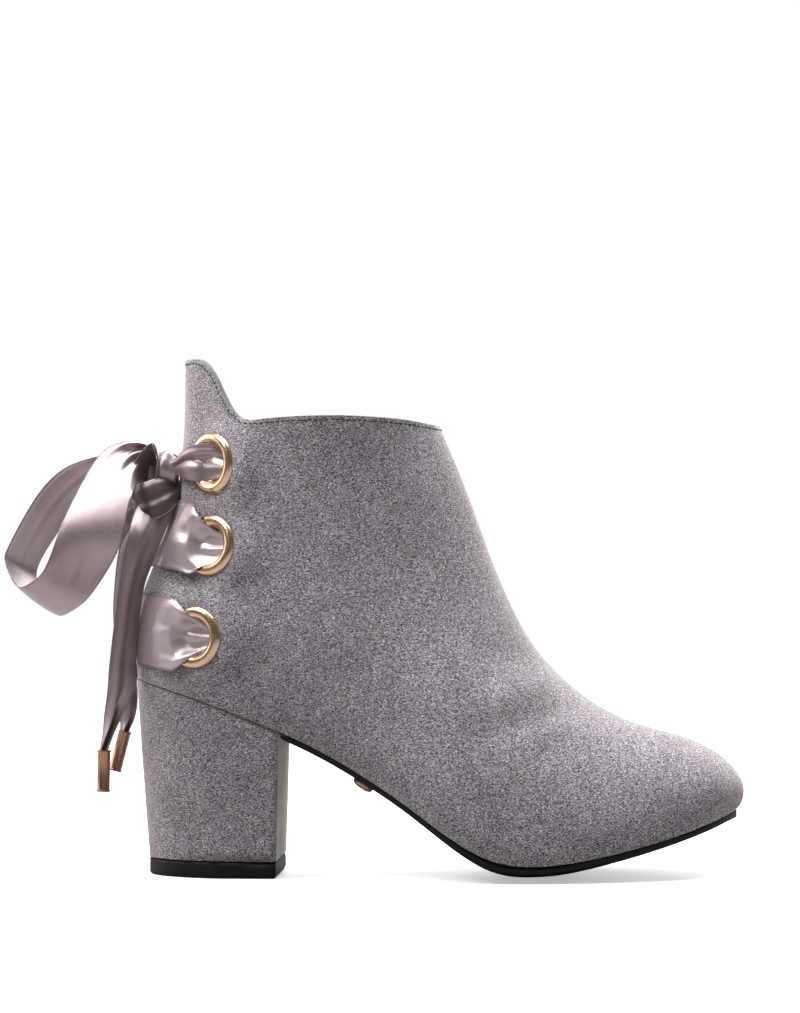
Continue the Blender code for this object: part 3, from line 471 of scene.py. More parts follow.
# Upper
upperLook = {
    "wall": 0.0020,
    "flatFrom": 0.0120,
    "flatTo": 0.0150,              # suede is flat this far from an eyelet's middle
    "seatDepth": 0.0060,           # and is an eyelet's own within this height of its seat
    "creaseFree": (0.0125, 0.0230),
    "puckerStart": (0.0115, 0.0135),
    "puckerEnd": (0.018, 0.026),
    "puckerWidth": 13.0,           # degrees
    "tabNear": 0.0022,             # how far the tab's outer side leans forward
    "tabFar": -0.0030,             # and its inner side back, so it hides behind the outer side
    "tabUp": (0.1665, 0.1765),     # heights between which the lean comes in
    "tabAhead": 0.0200,
    "tabBehind": 0.0115,
    "tabSoft": 0.0080,
    "tabMiddle": 0.0070,
    # soft troughs and ridges, in millimetres: side, start, middle and end in side view, depth, width
    "creases": (
        (-1, (40, 158), (56, 150), (70, 138), -0.9, 10),
        (-1, (52, 150), (64, 128), (82, 112), -0.6, 9),
        (-1, (30, 120), (46, 112), (64, 100), 0.4, 10),
        (-1, (6, 120), (14, 106), (28, 94), -0.4, 7),
        (-1, (100, 86), (114, 83), (126, 84), -0.7, 5),
        (-1, (98, 64), (114, 72), (134, 75), 1, 5.5),
        (-1, (104, 55), (122, 60), (140, 66), -0.9, 5),
        (-1, (116, 56), (134, 56), (152, 59), 0.4, 5.5),
        (-1, (100, 56), (122, 48), (146, 50), -0.4, 6),
        (-1, (60, 70), (80, 56), (104, 44), -0.5, 9),
        (-1, (46, 86), (70, 78), (92, 76), -0.4, 8),
        (1, (44, 156), (58, 146), (72, 136), -0.8, 10),
        (1, (30, 118), (48, 108), (66, 100), 0.5, 9),
        (1, (98, 86), (114, 82), (128, 80), -0.8, 4.5),
        (1, (104, 76), (120, 75), (134, 73), 0.7, 4.5),
        (1, (96, 68), (114, 64), (138, 62), -0.6, 5),
        (1, (56, 72), (76, 60), (100, 50), -0.5, 9),
    ),
    # puckers that run out from each eyelet: turn in degrees, depth
    "puckers": ((150, -0.00030), (195, 0.00025), (230, -0.00030),
                (20, -0.00018), (70, 0.00014), (310, -0.00016)),
}


def creaseLift(points, crease):
    side, start, middle, end, depth, width = crease
    a, b, c = (np.array(p) / 1000 for p in (start, middle, end))
    best = np.full(len(points), 9.0)
    along = np.zeros(len(points))
    flat = points[:, [0, 2]]
    for t in np.linspace(0.0, 1.0, 25):
        spot = (1 - t) ** 2 * a + 2 * t * (1 - t) * b + t * t * c
        far = np.linalg.norm(flat - spot, axis=1)
        closer = far < best
        best[closer] = far[closer]
        along[closer] = t
    ends = softStep(along, 0.0, 0.35) * softStep(1.0 - along, 0.0, 0.35)
    sameSide = softStep(points[:, 1] * side, -0.002, 0.010)
    return depth / 1000 * np.exp(-(best / (width / 1000)) ** 2) * (0.15 + 0.85 * ends) * sameSide


def wallRegions(piece):
    work = bmesh.new()
    work.from_mesh(piece.data)
    work.faces.ensure_lookup_table()
    region = {}
    areas = []
    for face in work.faces:
        if face.index in region:
            continue
        mark = len(areas)
        region[face.index] = mark
        waiting = [face]
        total = 0.0
        while waiting:
            here = waiting.pop()
            total += here.calc_area()
            for edge in here.edges:
                if len(edge.link_faces) != 2 or edge.calc_face_angle() > math.radians(50):
                    continue
                for other in edge.link_faces:
                    if other.index not in region:
                        region[other.index] = mark
                        waiting.append(other)
        areas.append(total)
    outer, inner = sorted(range(len(areas)), key=lambda m: -areas[m])[:2]
    for face in work.faces:
        mark = region[face.index]
        face.material_index = 0 if mark == outer else 1 if mark == inner else 2
    work.to_mesh(piece.data)
    work.free()


def wallSides(mesh):
    outward = np.zeros((len(mesh.vertices), 3))
    touched = np.zeros((len(mesh.vertices), 3), dtype=bool)
    for face in mesh.polygons:
        normal = np.array(face.normal) * face.area
        turn = -1.0 if face.material_index == 1 else 1.0
        for index in face.vertices:
            if face.material_index < 2:
                outward[index] += turn * normal
            touched[index, face.material_index] = True
    return outward / np.maximum(np.linalg.norm(outward, axis=1, keepdims=True), 1e-12), touched


def leanTab(points):
    look = upperLook
    tab = softStep(points[:, 2], *look["tabUp"])
    tab = tab * softStep(look["tabAhead"] - points[:, 0], 0.0, look["tabSoft"])
    near = softStep(-points[:, 1], -look["tabMiddle"], look["tabMiddle"])
    lean = look["tabNear"] * near + look["tabFar"] * (1.0 - near)
    points[:, 0] += tab * softStep(points[:, 0] + look["tabBehind"], 0.0, look["tabSoft"]) * lean


def seatSuede(points, touched):
    look = upperLook
    outerOnly = touched[:, 0] & ~touched[:, 1]
    innerOnly = touched[:, 1] & ~touched[:, 0]
    free = np.ones(len(points))
    puckered = np.zeros(len(points))
    for centre, normal in seats.values():
        across = np.array(normal)
        away = points - np.array(centre)
        height = away @ across
        flat = away - height[:, None] * across
        reach = np.linalg.norm(flat, axis=1)
        close = np.abs(height) < look["seatDepth"]
        near = (reach < look["flatTo"]) & (np.abs(height + 0.5 * look["wall"]) < 0.5 * look["seatDepth"])
        free = np.minimum(free, np.where(close, softStep(reach, *look["creaseFree"]), 1.0))
        share = np.where(near, 1.0 - softStep(reach, look["flatFrom"], look["flatTo"]), 0.0)
        shift = np.zeros(len(points))
        shift[near & outerOnly] = -height[near & outerOnly]
        shift[near & innerOnly] = -look["wall"] - height[near & innerOnly]
        points += (share * shift)[:, None] * across
        up = np.array((0.0, 0.0, 1.0)) - across[2] * across
        up /= np.linalg.norm(up)
        ahead = np.cross(up, across)
        ahead *= 1.0 if ahead[0] > 0 else -1.0
        angle = np.degrees(np.arctan2(flat @ up, flat @ ahead)) % 360.0
        ring = softStep(reach, *look["puckerStart"]) * (1.0 - softStep(reach, *look["puckerEnd"]))
        ring = np.where(close, ring, 0.0)
        for turn, depth in look["puckers"]:
            off = np.abs((angle - turn + 180.0) % 360.0 - 180.0)
            puckered += depth * ring * np.exp(-(off / look["puckerWidth"]) ** 2)
    return free, puckered


def buildUpper():
    piece = mergedCopy("upper", "upperSuede")
    for key in ("suede", "lining", "edge"):
        piece.data.materials.append(finishes[key])
    wallRegions(piece)
    creaseSharpEdges(piece, 50.0, 0.85)
    subdivide(piece, 2)
    mesh = piece.data
    points = np.zeros(len(mesh.vertices) * 3)
    mesh.vertices.foreach_get("co", points)
    points = points.reshape(-1, 3)
    outward, touched = wallSides(mesh)
    leanTab(points)
    lift = np.zeros(len(points))
    for crease in upperLook["creases"]:
        lift += creaseLift(points, crease)
    free, puckered = seatSuede(points, touched)
    lift = lift * free + puckered
    lift[touched[:, 2]] = 0.0
    points += lift[:, None] * outward
    mesh.vertices.foreach_set("co", points.ravel())
    mesh.update()
    smoothShade(piece, 60.0)
    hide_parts("upper")
    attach(piece, "root")
    return piece


upperPiece = buildUpper()
print("upper made", len(upperPiece.data.polygons))


# Stitches under the collar's edge
stitchLook = {
    "below": 0.0015,
    "pitch": 0.0021,
    "long": 0.0018,
    "thick": 0.00060,
    "flat": 0.7,
    "ahead": 0.0006,
    "collarFrom": 0.12,            # the upper's cut edge above this height is the collar's
}


def collarLine():
    work = bmesh.new()
    work.from_mesh(upperPiece.data)
    rim = {}
    for edge in work.edges:
        kinds = {face.material_index for face in edge.link_faces}
        if kinds == {0, 2} and min(v.co.z for v in edge.verts) > stitchLook["collarFrom"]:
            a, b = (v.index for v in edge.verts)
            rim.setdefault(a, []).append(b)
            rim.setdefault(b, []).append(a)
    work.verts.ensure_lookup_table()
    lines = []
    seen = set()
    for start in rim:
        if start in seen:
            continue
        line = [start]
        seen.add(start)
        here = start
        while True:
            ahead = [n for n in rim[here] if n not in seen]
            if not ahead:
                break
            here = ahead[0]
            seen.add(here)
            line.append(here)
        lines.append([tuple(work.verts[n].co) for n in line])
    work.free()
    line = max(lines, key=len)
    return np.array(line + [line[0]])


def buildStitches():
    look = stitchLook
    mesh = upperPiece.data
    outer = [tuple(p.vertices) for p in mesh.polygons if p.material_index == 0]
    tree = BVHTree.FromPolygons([v.co.copy() for v in mesh.vertices], outer)
    line = collarLine()
    steps = np.concatenate([[0.0], np.cumsum(np.linalg.norm(np.diff(line, axis=0), axis=1))])
    count = int(steps[-1] / look["pitch"])
    dropSelection()
    bpy.ops.mesh.primitive_uv_sphere_add(segments=8, ring_count=6, radius=0.5)
    thread = bpy.context.object
    thread.name = "collarStitches"
    thread.scale = (look["long"], look["thick"], look["thick"] * look["flat"])
    applyPlace(thread)
    each = len(thread.data.vertices)
    row = thread.modifiers.new("row", "ARRAY")
    row.count = count
    row.relative_offset_displace = (0.0, 0.0, 0.0)
    applyModifier(thread, "row")
    middle = Vector([np.mean(line[:, k]) for k in range(3)])
    for n in range(count):
        at = (n + 0.5) * steps[-1] / count
        here = Vector([np.interp(at, steps, line[:, k]) for k in range(3)])
        later = min(at + look["ahead"], steps[-1])
        ahead = Vector([np.interp(later, steps, line[:, k]) for k in range(3)])
        way = (ahead - here).normalized()
        _, normal, _, _ = tree.find_nearest(here)
        normal = normal if normal.dot(here - middle) > 0 or abs(normal.z) > 0.9 else -normal
        down = way.cross(normal).normalized()
        down = down if down.z < 0 else -down
        spot, normal, _, _ = tree.find_nearest(here + down * look["below"])
        way = (way - normal * way.dot(normal)).normalized()
        turn = Matrix((way, normal.cross(way), normal)).transposed()
        for vert in list(thread.data.vertices)[n * each:(n + 1) * each]:
            vert.co = spot + turn @ vert.co
    # the stitches' near-black colour is partly painted groove shade
    thread.data.materials.append(finishes["thread"])
    smoothShade(thread, 60.0)
    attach(thread, "root")
    return count


print("collar stitches made", buildStitches())


# Heel, sole and insole
def finishCopy(node, name, finish, slot, levels, sharp, hold):
    piece = mergedCopy(node, name)
    piece.data.materials.append(finishes[finish])
    creaseSharpEdges(piece, sharp, hold)
    subdivide(piece, levels)
    smoothShade(piece, 50.0)
    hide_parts(node)
    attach(piece, "root")
    return piece


heelPiece = finishCopy("heel_block", "heelCover", "suede", "grey_suede", 2, 40.0, 0.92)
heelPiece.data.materials.append(finishes["breast"])
# faces turned toward the toe take the paler suede, partly painted light
for face in heelPiece.data.polygons:
    if face.normal.x > 0.80:
        face.material_index = 1
for soleRow in (
    ("top_piece", "topPiece", "rubber", "black_rubber", 2, 30.0, 0.95),
    ("outsole", "outsoleEdge", "rubber", "black_rubber", 2, 40.0, 0.95),
    ("insole", "insoleCover", "board", "insole_lining", 1, 40.0, 0.9),
    ("sole_plate", "solePlate", "copper", "polished_brass", 2, 40.0, 0.4),
):
    finishCopy(*soleRow)
print("heel and sole made")


# Eyelets
def buildEyelet(name):
    look = eyeletLook
    centre, normal = seats[name]
    middle = 0.5 * (look["outer"] + look["hole"])
    small = 0.5 * (look["outer"] - look["hole"])
    dropSelection()
    bpy.ops.mesh.primitive_torus_add(major_radius=middle, minor_radius=small,
                                     major_segments=look["segments"], minor_segments=look["tubeSegments"])
    ring = bpy.context.object
    ring.name = "eyelet" + name.title().replace("_", "")
    ring.scale = (1.0, 1.0, look["crest"] / small)
    applyPlace(ring)
    bpy.ops.object.mode_set(mode="EDIT")
    bpy.ops.mesh.select_all(action="SELECT")
    bpy.ops.mesh.bisect(plane_co=(0.0, 0.0, 0.00002), plane_no=(0.0, 0.0, 1.0), clear_inner=True)
    work = bmesh.from_edit_mesh(ring.data)
    for vert in work.verts:
        vert.select = False
    for edge in work.edges:
        inside = (edge.verts[0].co + edge.verts[1].co).xy.length * 0.5 < middle
        edge.select_set(edge.is_boundary and inside)
    bmesh.update_edit_mesh(ring.data)
    barrelOut = look["hole"] + look["barrel"]
    depth = look["wall"] + look["gap"] + look["barrel"]
    bpy.ops.mesh.select_mode(type="EDGE")
    moves = ((-depth, 1.0), (0.0, (barrelOut + look["washer"]) / look["hole"]), (look["barrel"], 1.0),
             (0.0, barrelOut / (barrelOut + look["washer"])), (depth - look["barrel"], 1.0))
    for drop, grow in moves:
        bpy.ops.mesh.extrude_region_move(TRANSFORM_OT_translate={"value": (0.0, 0.0, drop)})
        bpy.ops.transform.resize(value=(grow, grow, 1.0), center_override=(0.0, 0.0, 0.0))
    work = bmesh.from_edit_mesh(ring.data)
    for edge in work.edges:
        if edge.is_boundary:
            edge.select_set(True)
    bmesh.update_edit_mesh(ring.data)
    bpy.ops.mesh.bridge_edge_loops()
    bpy.ops.mesh.select_all(action="SELECT")
    bpy.ops.mesh.remove_doubles(threshold=0.000005)
    bpy.ops.mesh.normals_make_consistent(inside=False)
    bpy.ops.object.mode_set(mode="OBJECT")
    ring.data.transform(Matrix.Translation(centre) @ normal.to_track_quat("Z", "Y").to_matrix().to_4x4())
    ring.data.materials.append(finishes["brass"])
    smoothShade(ring, 40.0)
    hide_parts("eyelet_" + name)
    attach(ring, "root")


for eyeletName in eyeletNames:
    buildEyelet(eyeletName)
print("eyelets made")


# Ribbon: each stretch is a grid laid on its route, gathered where it is narrow
ribbonLook = {
    "width": 0.0280,
    "thickness": 0.00040,
    "across": 28,
    "flatRoom": (0.0010, 0.0110),  # a stretch with less room than this lies flat
    "pleatWidths": (0.0080, 0.0190),
    "endShares": (0.72, 0.90),
    "secondWave": (0.35, 1.7, 1.1),
}


def layRibbon(name, steps, placeAt, finish="satin"):
    dropSelection()
    bpy.ops.mesh.primitive_grid_add(x_subdivisions=ribbonLook["across"], y_subdivisions=steps, size=1.0)
    piece = bpy.context.object
    piece.name = name
    mesh = piece.data
    mesh.name = name
    shares = [(v.co.x + 0.5, v.co.y + 0.5) for v in mesh.vertices]
    spots = np.array([placeAt(v, 2.0 * u - 1.0) for u, v in shares])
    middle = np.array([placeAt(v, 0.0) for v in np.linspace(0.0, 1.0, 80)])
    long = float(np.linalg.norm(np.diff(middle, axis=0), axis=1).sum())
    mesh.vertices.foreach_set("co", spots.ravel())
    layer = mesh.uv_layers.active
    layer.name = "ribbon"
    for loop in mesh.loops:
        u, v = shares[loop.vertex_index]
        layer.data[loop.index].uv = ((u - 0.5) * ribbonLook["width"], v * long)
    mesh.materials.append(finishes[finish])
    wall = piece.modifiers.new("wall", "SOLIDIFY")
    wall.thickness = ribbonLook["thickness"]
    wall.offset = 0.0
    applyModifier(piece, "wall")
    subdivide(piece, 1)
    smoothShade(piece, 80.0)
    return piece


def gatherDepth(width, waves):
    room = max(ribbonLook["width"] - width, 0.0) * width
    return math.sqrt(room) / (math.pi * waves)


def gathered(rows, look):
    line = smoothRows(rows, 240)
    centres = line[:, :3]
    halves = line[:, 3:]
    along = np.gradient(centres, axis=0)
    normals = np.cross(along, halves)
    normals /= np.linalg.norm(normals, axis=1, keepdims=True)
    steps = np.concatenate([[0.0], np.cumsum(np.linalg.norm(np.diff(centres, axis=0), axis=1))])
    steps /= steps[-1]
    table = np.hstack([centres, halves, normals])

    def placeAt(share, t):
        row = [np.interp(share, steps, table[:, k]) for k in range(9)]
        centre, half, normal = (np.array(row[k:k + 3]) for k in (0, 3, 6))
        width = 2.0 * np.linalg.norm(half)
        depth = look["gather"] * gatherDepth(width, look["waves"])
        depth *= float(softStep(ribbonLook["width"] - width, *ribbonLook["flatRoom"]))
        depth *= 1.0 + look.get("pleat", 0.0) * (1.0 - float(softStep(width, *ribbonLook["pleatWidths"])))
        depth *= 1.0 + look.get("endPleat", 0.0) * float(softStep(share, *ribbonLook["endShares"]))
        turn = math.pi * look["waves"] * t + look["phase"] + look["drift"] * share
        size, often, start = ribbonLook["secondWave"]
        fold = depth * (math.cos(turn) + size * math.sin(often * turn + start))
        fold += look["cup"] * (1.0 - t * t) * width
        return centre + half * t + normal * fold

    return placeAt


# each route's rows, in millimetres: the ribbon's middle, and from there to its edge
def ribbonRows(rows):
    return [(tuple(v / 1000 for v in row[:3]), tuple(v / 1000 for v in row[3:])) for row in rows]


loopOutRows = ribbonRows((
    (-23.5, -3.5, 162.4, 0.6, 1.6, -2.4),
    (-27.6, -5, 162.4, 0.5, 0.8, -4),
    (-32.2, -9.5, 160, 3.2, -2, -6.3),
    (-35.6, -14.5, 155.5, 6.6, -4.5, -7.2),
    (-39.1, -19, 148.6, 8.9, -6, -5.7),
    (-45.3, -23, 130.6, 11.3, -2.8, -4.8),
    (-54.5, -16, 113.3, 8.3, 6.8, -4.9),
    (-62.5, -8, 106.6, 6.6, 9, -5.8),
    (-69.6, -0.5, 105.1, 6, 9.5, -5.6),
    (-76.9, 10.5, 114.9, 4.9, 10.5, -4.5),
    (-75.9, 13, 123.3, 4.6, 11, -3.1),
    (-63.7, 11, 142.4, 6.2, 10, -2.5),
    (-53.6, 7.5, 151.7, 6.7, 8.5, -3.2),
    (-43.4, 4, 156.9, 5.7, 7, -3),
    (-33.1, 2.5, 160, 3.8, 3.5, -2.3),
    (-26.2, 0.8, 161.4, 1.2, 2.2, -1.8),
))
loopInRows = ribbonRows((
    (-28.1, 5.8, 150, -0.2, 0, 3),
    (-36.5, 14, 146.5, -1.2, 1, 7),
    (-45.5, 24.5, 146.5, -3, 1, 10.5),
    (-50, 35, 145.5, -3.6, 0, 13),
    (-48, 44, 141.5, -4, -1, 13),
    (-42, 47, 139.5, -4, -1.5, 13),
    (-36, 42.5, 140, -3.6, -1, 12.8),
    (-32, 33, 142.5, -3, 0, 11.5),
    (-29, 22, 146, -2, 0, 9),
    (-25.6, 9.6, 150.5, -0.8, 0, 3.8),
))
tailOutRows = ribbonRows((
    (-22.2, -8, 145, 5, -0.6, 0.6),
    (-23, -11.2, 138.9, 7.2, 1.6, 0.2),
    (-25.2, -15.2, 130.1, 6.2, 4.5, -0.1),
    (-27.9, -17.2, 120.8, 5.2, 5, 0.1),
    (-31.2, -16.8, 107, 4.2, 5.2, 1),
    (-34, -15.5, 82.9, 4.4, 5, 0.8),
    (-34.6, -14, 72.5, 5, 4, 1.2),
    (-39.1, -11.5, 57.9, 2.5, 1, 0.4),
    (-41.8, -11, 48.7, 1.8, 0, 0),
    (-42.8, -11, 45, 1.8, 0, 0),
))
tailInRows = ribbonRows((
    (-25.2, 7.8, 144.4, 3, 3.4, 0.3),
    (-29.1, 11.5, 132.1, 5.2, 8.5, 0),
    (-33.8, 13, 123.5, 4.1, 10, -0.1),
    (-37.4, 14, 104.8, 2.4, 11, -0.3),
    (-37.3, 14, 92.3, 2.3, 11, -0.3),
    (-36.7, 14, 81.4, 2.1, 10, -0.4),
    (-34.9, 12.5, 72.5, 2.4, 7.5, -0.7),
    (-35, 10.4, 60.8, 2, 3, -0.4),
    (-36.1, 10, 54.8, 1.8, 0.6, -0.2),
    (-36.7, 10, 51.2, 1.8, 0.6, -0.2),
))
knotCentre = Vector((-0.0225, 0.0, 0.1500))

bowLook = {
    "loopOut": {"gather": 0.26, "pleat": 2.6, "waves": 3.0, "phase": 0.4, "drift": 0.0, "cup": 0.03},
    "loopIn": {"gather": 0.26, "pleat": 2.6, "waves": 3.0, "phase": 1.2, "drift": 0.0, "cup": 0.03},
    "tailOut": {"gather": 0.10, "endPleat": 8.0, "waves": 1.7, "phase": 0.6, "drift": 2.2, "cup": 0.02},
    "tailIn": {"gather": 0.30, "endPleat": 2.2, "waves": 2.0, "phase": 2.0, "drift": 1.2, "cup": -0.02},
}


def routePoints(rows, count):
    return [tuple(row[:3]) for row in smoothRows(rows, count)]


def joinPieces(first, others):
    makeActive(first)
    for other in others:
        other.select_set(True)
    bpy.ops.object.join()
    return first


def throughKnot(last, first):
    middle = 0.35 * (np.array(last[0]) + np.array(first[0])) + 0.30 * np.array(knotCentre)
    half = 0.5 * (np.array(last[1]) + np.array(first[1]))
    return (last, (tuple(middle), tuple(half)), first)


def buildSide(name, loopRows, loopLook, tailRows, tailLook, loopNode, tailNode):
    loop = layRibbon(name, 130, gathered(loopRows, loopLook))
    tail = layRibbon(name + "Tail", 110, gathered(tailRows, tailLook))
    linkRows = throughKnot(loopRows[-1], tailRows[0])
    link = layRibbon(name + "Link", 30, gathered(linkRows, tailLook))
    joinPieces(loop, [tail, link])
    route = routePoints(loopRows, 60) + routePoints(linkRows, 12)[1:-1] + routePoints(tailRows, 40)
    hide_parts(loopNode, tailNode)
    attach(loop, "root")


# Aglets: a closed metal sleeve with a rolled lip and a dimple in its end
agletLook = {
    "radius": 0.0027,
    "length": 0.0160,
    "lip": 0.00025,
    "lipLong": 0.0008,
    "inset": 0.0005,
    "dimple": 0.0003,
    "bevel": 0.00012,
}


def buildAglet(node, name):
    look = agletLook
    points = np.array([tuple(v.co) for v in nodes[node].data.vertices])
    order = points[:, 2].argsort()
    low = points[order[:len(order) // 2]].mean(axis=0)
    high = points[order[len(order) // 2:]].mean(axis=0)
    way = Vector(high - low).normalized()
    dropSelection()
    bpy.ops.mesh.primitive_cylinder_add(vertices=40, radius=look["radius"] - look["lip"],
                                        depth=look["length"], end_fill_type="NGON")
    sleeve = bpy.context.object
    sleeve.name = name
    bpy.ops.object.mode_set(mode="EDIT")
    bpy.ops.mesh.select_all(action="DESELECT")
    work = bmesh.from_edit_mesh(sleeve.data)
    for face in work.faces:
        face.select_set(abs(face.normal.z) > 0.9)
    bmesh.update_edit_mesh(sleeve.data)
    bpy.ops.mesh.inset(thickness=look["inset"], use_individual=True)
    bpy.ops.mesh.extrude_region_shrink_fatten(TRANSFORM_OT_shrink_fatten={"value": -look["dimple"]})
    lipFrom = 0.5 * look["length"] - look["lipLong"]
    for cut in (lipFrom, -lipFrom):
        bpy.ops.mesh.select_all(action="SELECT")
        bpy.ops.mesh.bisect(plane_co=(0, 0, cut), plane_no=(0, 0, 1))
    bpy.ops.mesh.select_all(action="DESELECT")
    work = bmesh.from_edit_mesh(sleeve.data)
    for face in work.faces:
        mid = face.calc_center_median()
        face.select_set(abs(mid.z) > lipFrom and face.normal.xy.length > 0.9
                        and mid.xy.length > look["radius"] - 0.0006)
    bmesh.update_edit_mesh(sleeve.data)
    bpy.ops.mesh.extrude_region_shrink_fatten(TRANSFORM_OT_shrink_fatten={"value": look["lip"]})
    bpy.ops.object.mode_set(mode="OBJECT")
    bevel = sleeve.modifiers.new("round", "BEVEL")
    bevel.width = look["bevel"]
    bevel.segments = 2
    applyModifier(sleeve, "round")
    sleeve.data.transform(Matrix.Translation(Vector(0.5 * (low + high)))
                          @ way.to_track_quat("Z", "Y").to_matrix().to_4x4())
    sleeve.data.materials.append(finishes["copper"])
    smoothShade(sleeve, 35.0)
    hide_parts(node)
    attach(sleeve, "root")
    return sleeve


agletRight = buildAglet("aglet_right", "agletRight")
agletLeft = buildAglet("aglet_left", "agletLeft")
buildSide("laceRight", loopOutRows, bowLook["loopOut"], tailOutRows, bowLook["tailOut"],
          "lace_loop_right", "lace_tail_right")
buildSide("laceLeft", loopInRows, bowLook["loopIn"], tailInRows, bowLook["tailIn"],
          "lace_loop_left", "lace_tail_left")
print("loops and tails made")


# Bars round the back: from one eyelet's hole, over its ring and round to the other
barLook = {
    "low": {"rise": 0.0026, "back": 0.0136, "hole": 0.0050, "waves": 2.6, "phase": 0.2},
    "mid": {"rise": 0.0046, "back": 0.0130, "hole": 0.0048, "waves": 2.0, "phase": 1.5},
}
barFit = {
    "reach": 103.0,                # degrees from the middle of the back to each end
    "narrows": (0.80, 1.12),       # where it narrows to the hole, 1 being the boot's side
    "gathers": (0.40, 0.85),
    "tilt": (-1.0, 0.0, 0.15),     # the way the ribbon faces at the middle of the back
    "tiltTo": 0.45,
    "above": 0.0010,               # over the suede, over the ring and down in the hole
    "ring": 0.0022,
    "ringFade": (0.0006, 0.0110),
    "sink": 0.0046,
    "sinkFade": (0.0040, 0.0092),
    "behind": -0.0034,             # in the hole's front half it lies behind the rim
    "behindFade": (-0.0030, 0.0042),
    "fold": 0.75,
    "quiet": 0.55,
    "quietFade": (0.0085, 0.0125),
    "seat": 0.0135,
}
suedeTree = BVHTree.FromPolygons([v.co.copy() for v in nodes["upper"].data.vertices],
                                 [tuple(p.vertices) for p in nodes["upper"].data.polygons])


def suedeSpot(theta, axisX, z):
    way = Vector((-math.cos(theta), math.sin(theta), 0.0))
    start = Vector((axisX, 0.0, z)) + way * 0.12
    name = "left" if math.sin(theta) > 0 else "right"
    best = None
    for row in ("low", "mid", "top"):
        centre, normal = seats[row + "_" + name]
        slope = way.dot(normal)
        if slope <= 0.05:
            continue
        spot = start - way * ((start - centre).dot(normal) / slope)
        away = (spot - centre).length
        if away < barFit["seat"] and (best is None or away < best[2]):
            best = (spot, normal, away)
    if best:
        return best[0], best[1]
    hit, normal, _, _ = suedeTree.ray_cast(start, -way, 0.2)
    if hit is None:
        return start - way * 0.1, way
    normal = normal if normal.dot(way) > 0 else -normal
    return hit, normal


def barPlace(row, look):
    fit = barFit
    ring = eyeletLook["outer"]
    back = Vector(fit["tilt"]).normalized()

    def fade(value, span):
        return float(softStep(value, *span))

    def placeAt(share, t):
        theta = (2.0 * share - 1.0) * math.radians(fit["reach"])
        centre, _ = seats[row + ("_left" if theta > 0 else "_right")]
        near = abs(theta) / math.radians(90.0)
        half = look["back"] + (look["hole"] - look["back"]) * fade(near, fit["narrows"])
        z = centre.z + look["rise"] * (1.0 - min(near, 1.0) ** 2) + t * half
        spot, normal = suedeSpot(theta, centre.x, z)
        blended = fade(near, (0.0, fit["tiltTo"]))
        normal = (normal * blended + back * (1.0 - blended)).normalized()
        away = (spot - centre).length
        over = fit["above"] + fit["ring"] * (1.0 - fade(away - ring, fit["ringFade"]))
        over -= fit["sink"] * (1.0 - fade(away, fit["sinkFade"]))
        ahead = fade(spot.x - centre.x, fit["behindFade"])
        lift = over * (1.0 - ahead) + fit["behind"] * ahead
        depth = fit["fold"] * gatherDepth(2.0 * half, look["waves"]) * fade(near, fit["gathers"])
        turn = math.pi * look["waves"] * t + look["phase"]
        fold = depth * (math.cos(turn) + 0.30 * math.sin(1.9 * turn + 0.6))
        fold *= 1.0 - fit["quiet"] * (1.0 - fade(away, fit["quietFade"]))
        return np.array(spot + normal * (lift + max(fold, -0.6 * max(lift, 0.0))))

    return placeAt


def buildBar(row):
    # the bars take the paler satin copy, its paleness painted light
    bar = layRibbon("laceBar" + row.title(), 150, barPlace(row, barLook[row]), "paintedLightSatin")
    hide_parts("lace_bar_" + row)
    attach(bar, "root")


for barRow in ("low", "mid"):
    buildBar(barRow)
print("bars made")


# Strands from the top eyelets to the knot: two leaves of one folded ribbon, twisted at the knot
strandUpperRows = ribbonRows((
    (-16.9, -8.2, 157.2, 0, -0.2, 1.3),
    (-14.1, -10.5, 158.1, 0.1, -0.5, 2),
    (-11.7, -13.2, 159.8, 0.1, -0.8, 2.4),
    (-8.9, -16.1, 161.2, 0.1, -1.1, 2.8),
    (-5.6, -18.4, 161.9, 0.1, -1, 3),
    (-2, -19.7, 162.3, 0.1, -0.9, 2.9),
    (1.5, -20.7, 162.3, 0.1, -0.7, 2.5),
    (4.9, -20.6, 161.5, 0, -0.4, 1.4),
    (6.6, -20.3, 161.3, 0, -0.1, 0.8),
))
strandLowerRows = ribbonRows((
    (-17, -7.2, 155.2, 0, 0.2, 1.5),
    (-14.2, -9.4, 155.6, -0.1, 0.6, 2.6),
    (-11.8, -12.4, 156.1, -0.1, 0.8, 3.8),
    (-9, -15.3, 156.2, -0.1, 1.2, 4.9),
    (-5.8, -17, 155.8, -0.2, 1.5, 5.1),
    (-2.3, -17.1, 155.7, -0.2, 1.7, 4.8),
    (1.2, -17.8, 155.8, -0.2, 2, 4.2),
    (4.7, -18.4, 155.7, -0.2, 2, 3.1),
    (6.4, -18.5, 155.5, -0.2, 1.7, 2.2),
))
strandLook = {
    "upper": {"gather": 0.07, "waves": 1.0, "phase": 0.0, "drift": 0.6, "cup": 0.08},
    "lower": {"gather": 0.07, "waves": 1.0, "phase": 0.3, "drift": -0.5, "cup": 0.07},
}


def mirrored(rows, sign):
    return tuple(((x, -sign * y, z), (a, -sign * b, c)) for (x, y, z), (a, b, c) in rows)


def buildStrand(side, sign):
    upper = layRibbon("laceStrand" + side.title(), 60,
                      gathered(mirrored(strandUpperRows, sign), strandLook["upper"]))
    lower = layRibbon("leaf", 60, gathered(mirrored(strandLowerRows, sign), strandLook["lower"]))
    strand = joinPieces(upper, [lower])
    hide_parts("lace_strand_" + side)
    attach(strand, "root")


for strandSide, strandSign in (("left", 1.0), ("right", -1.0)):
    buildStrand(strandSide, strandSign)


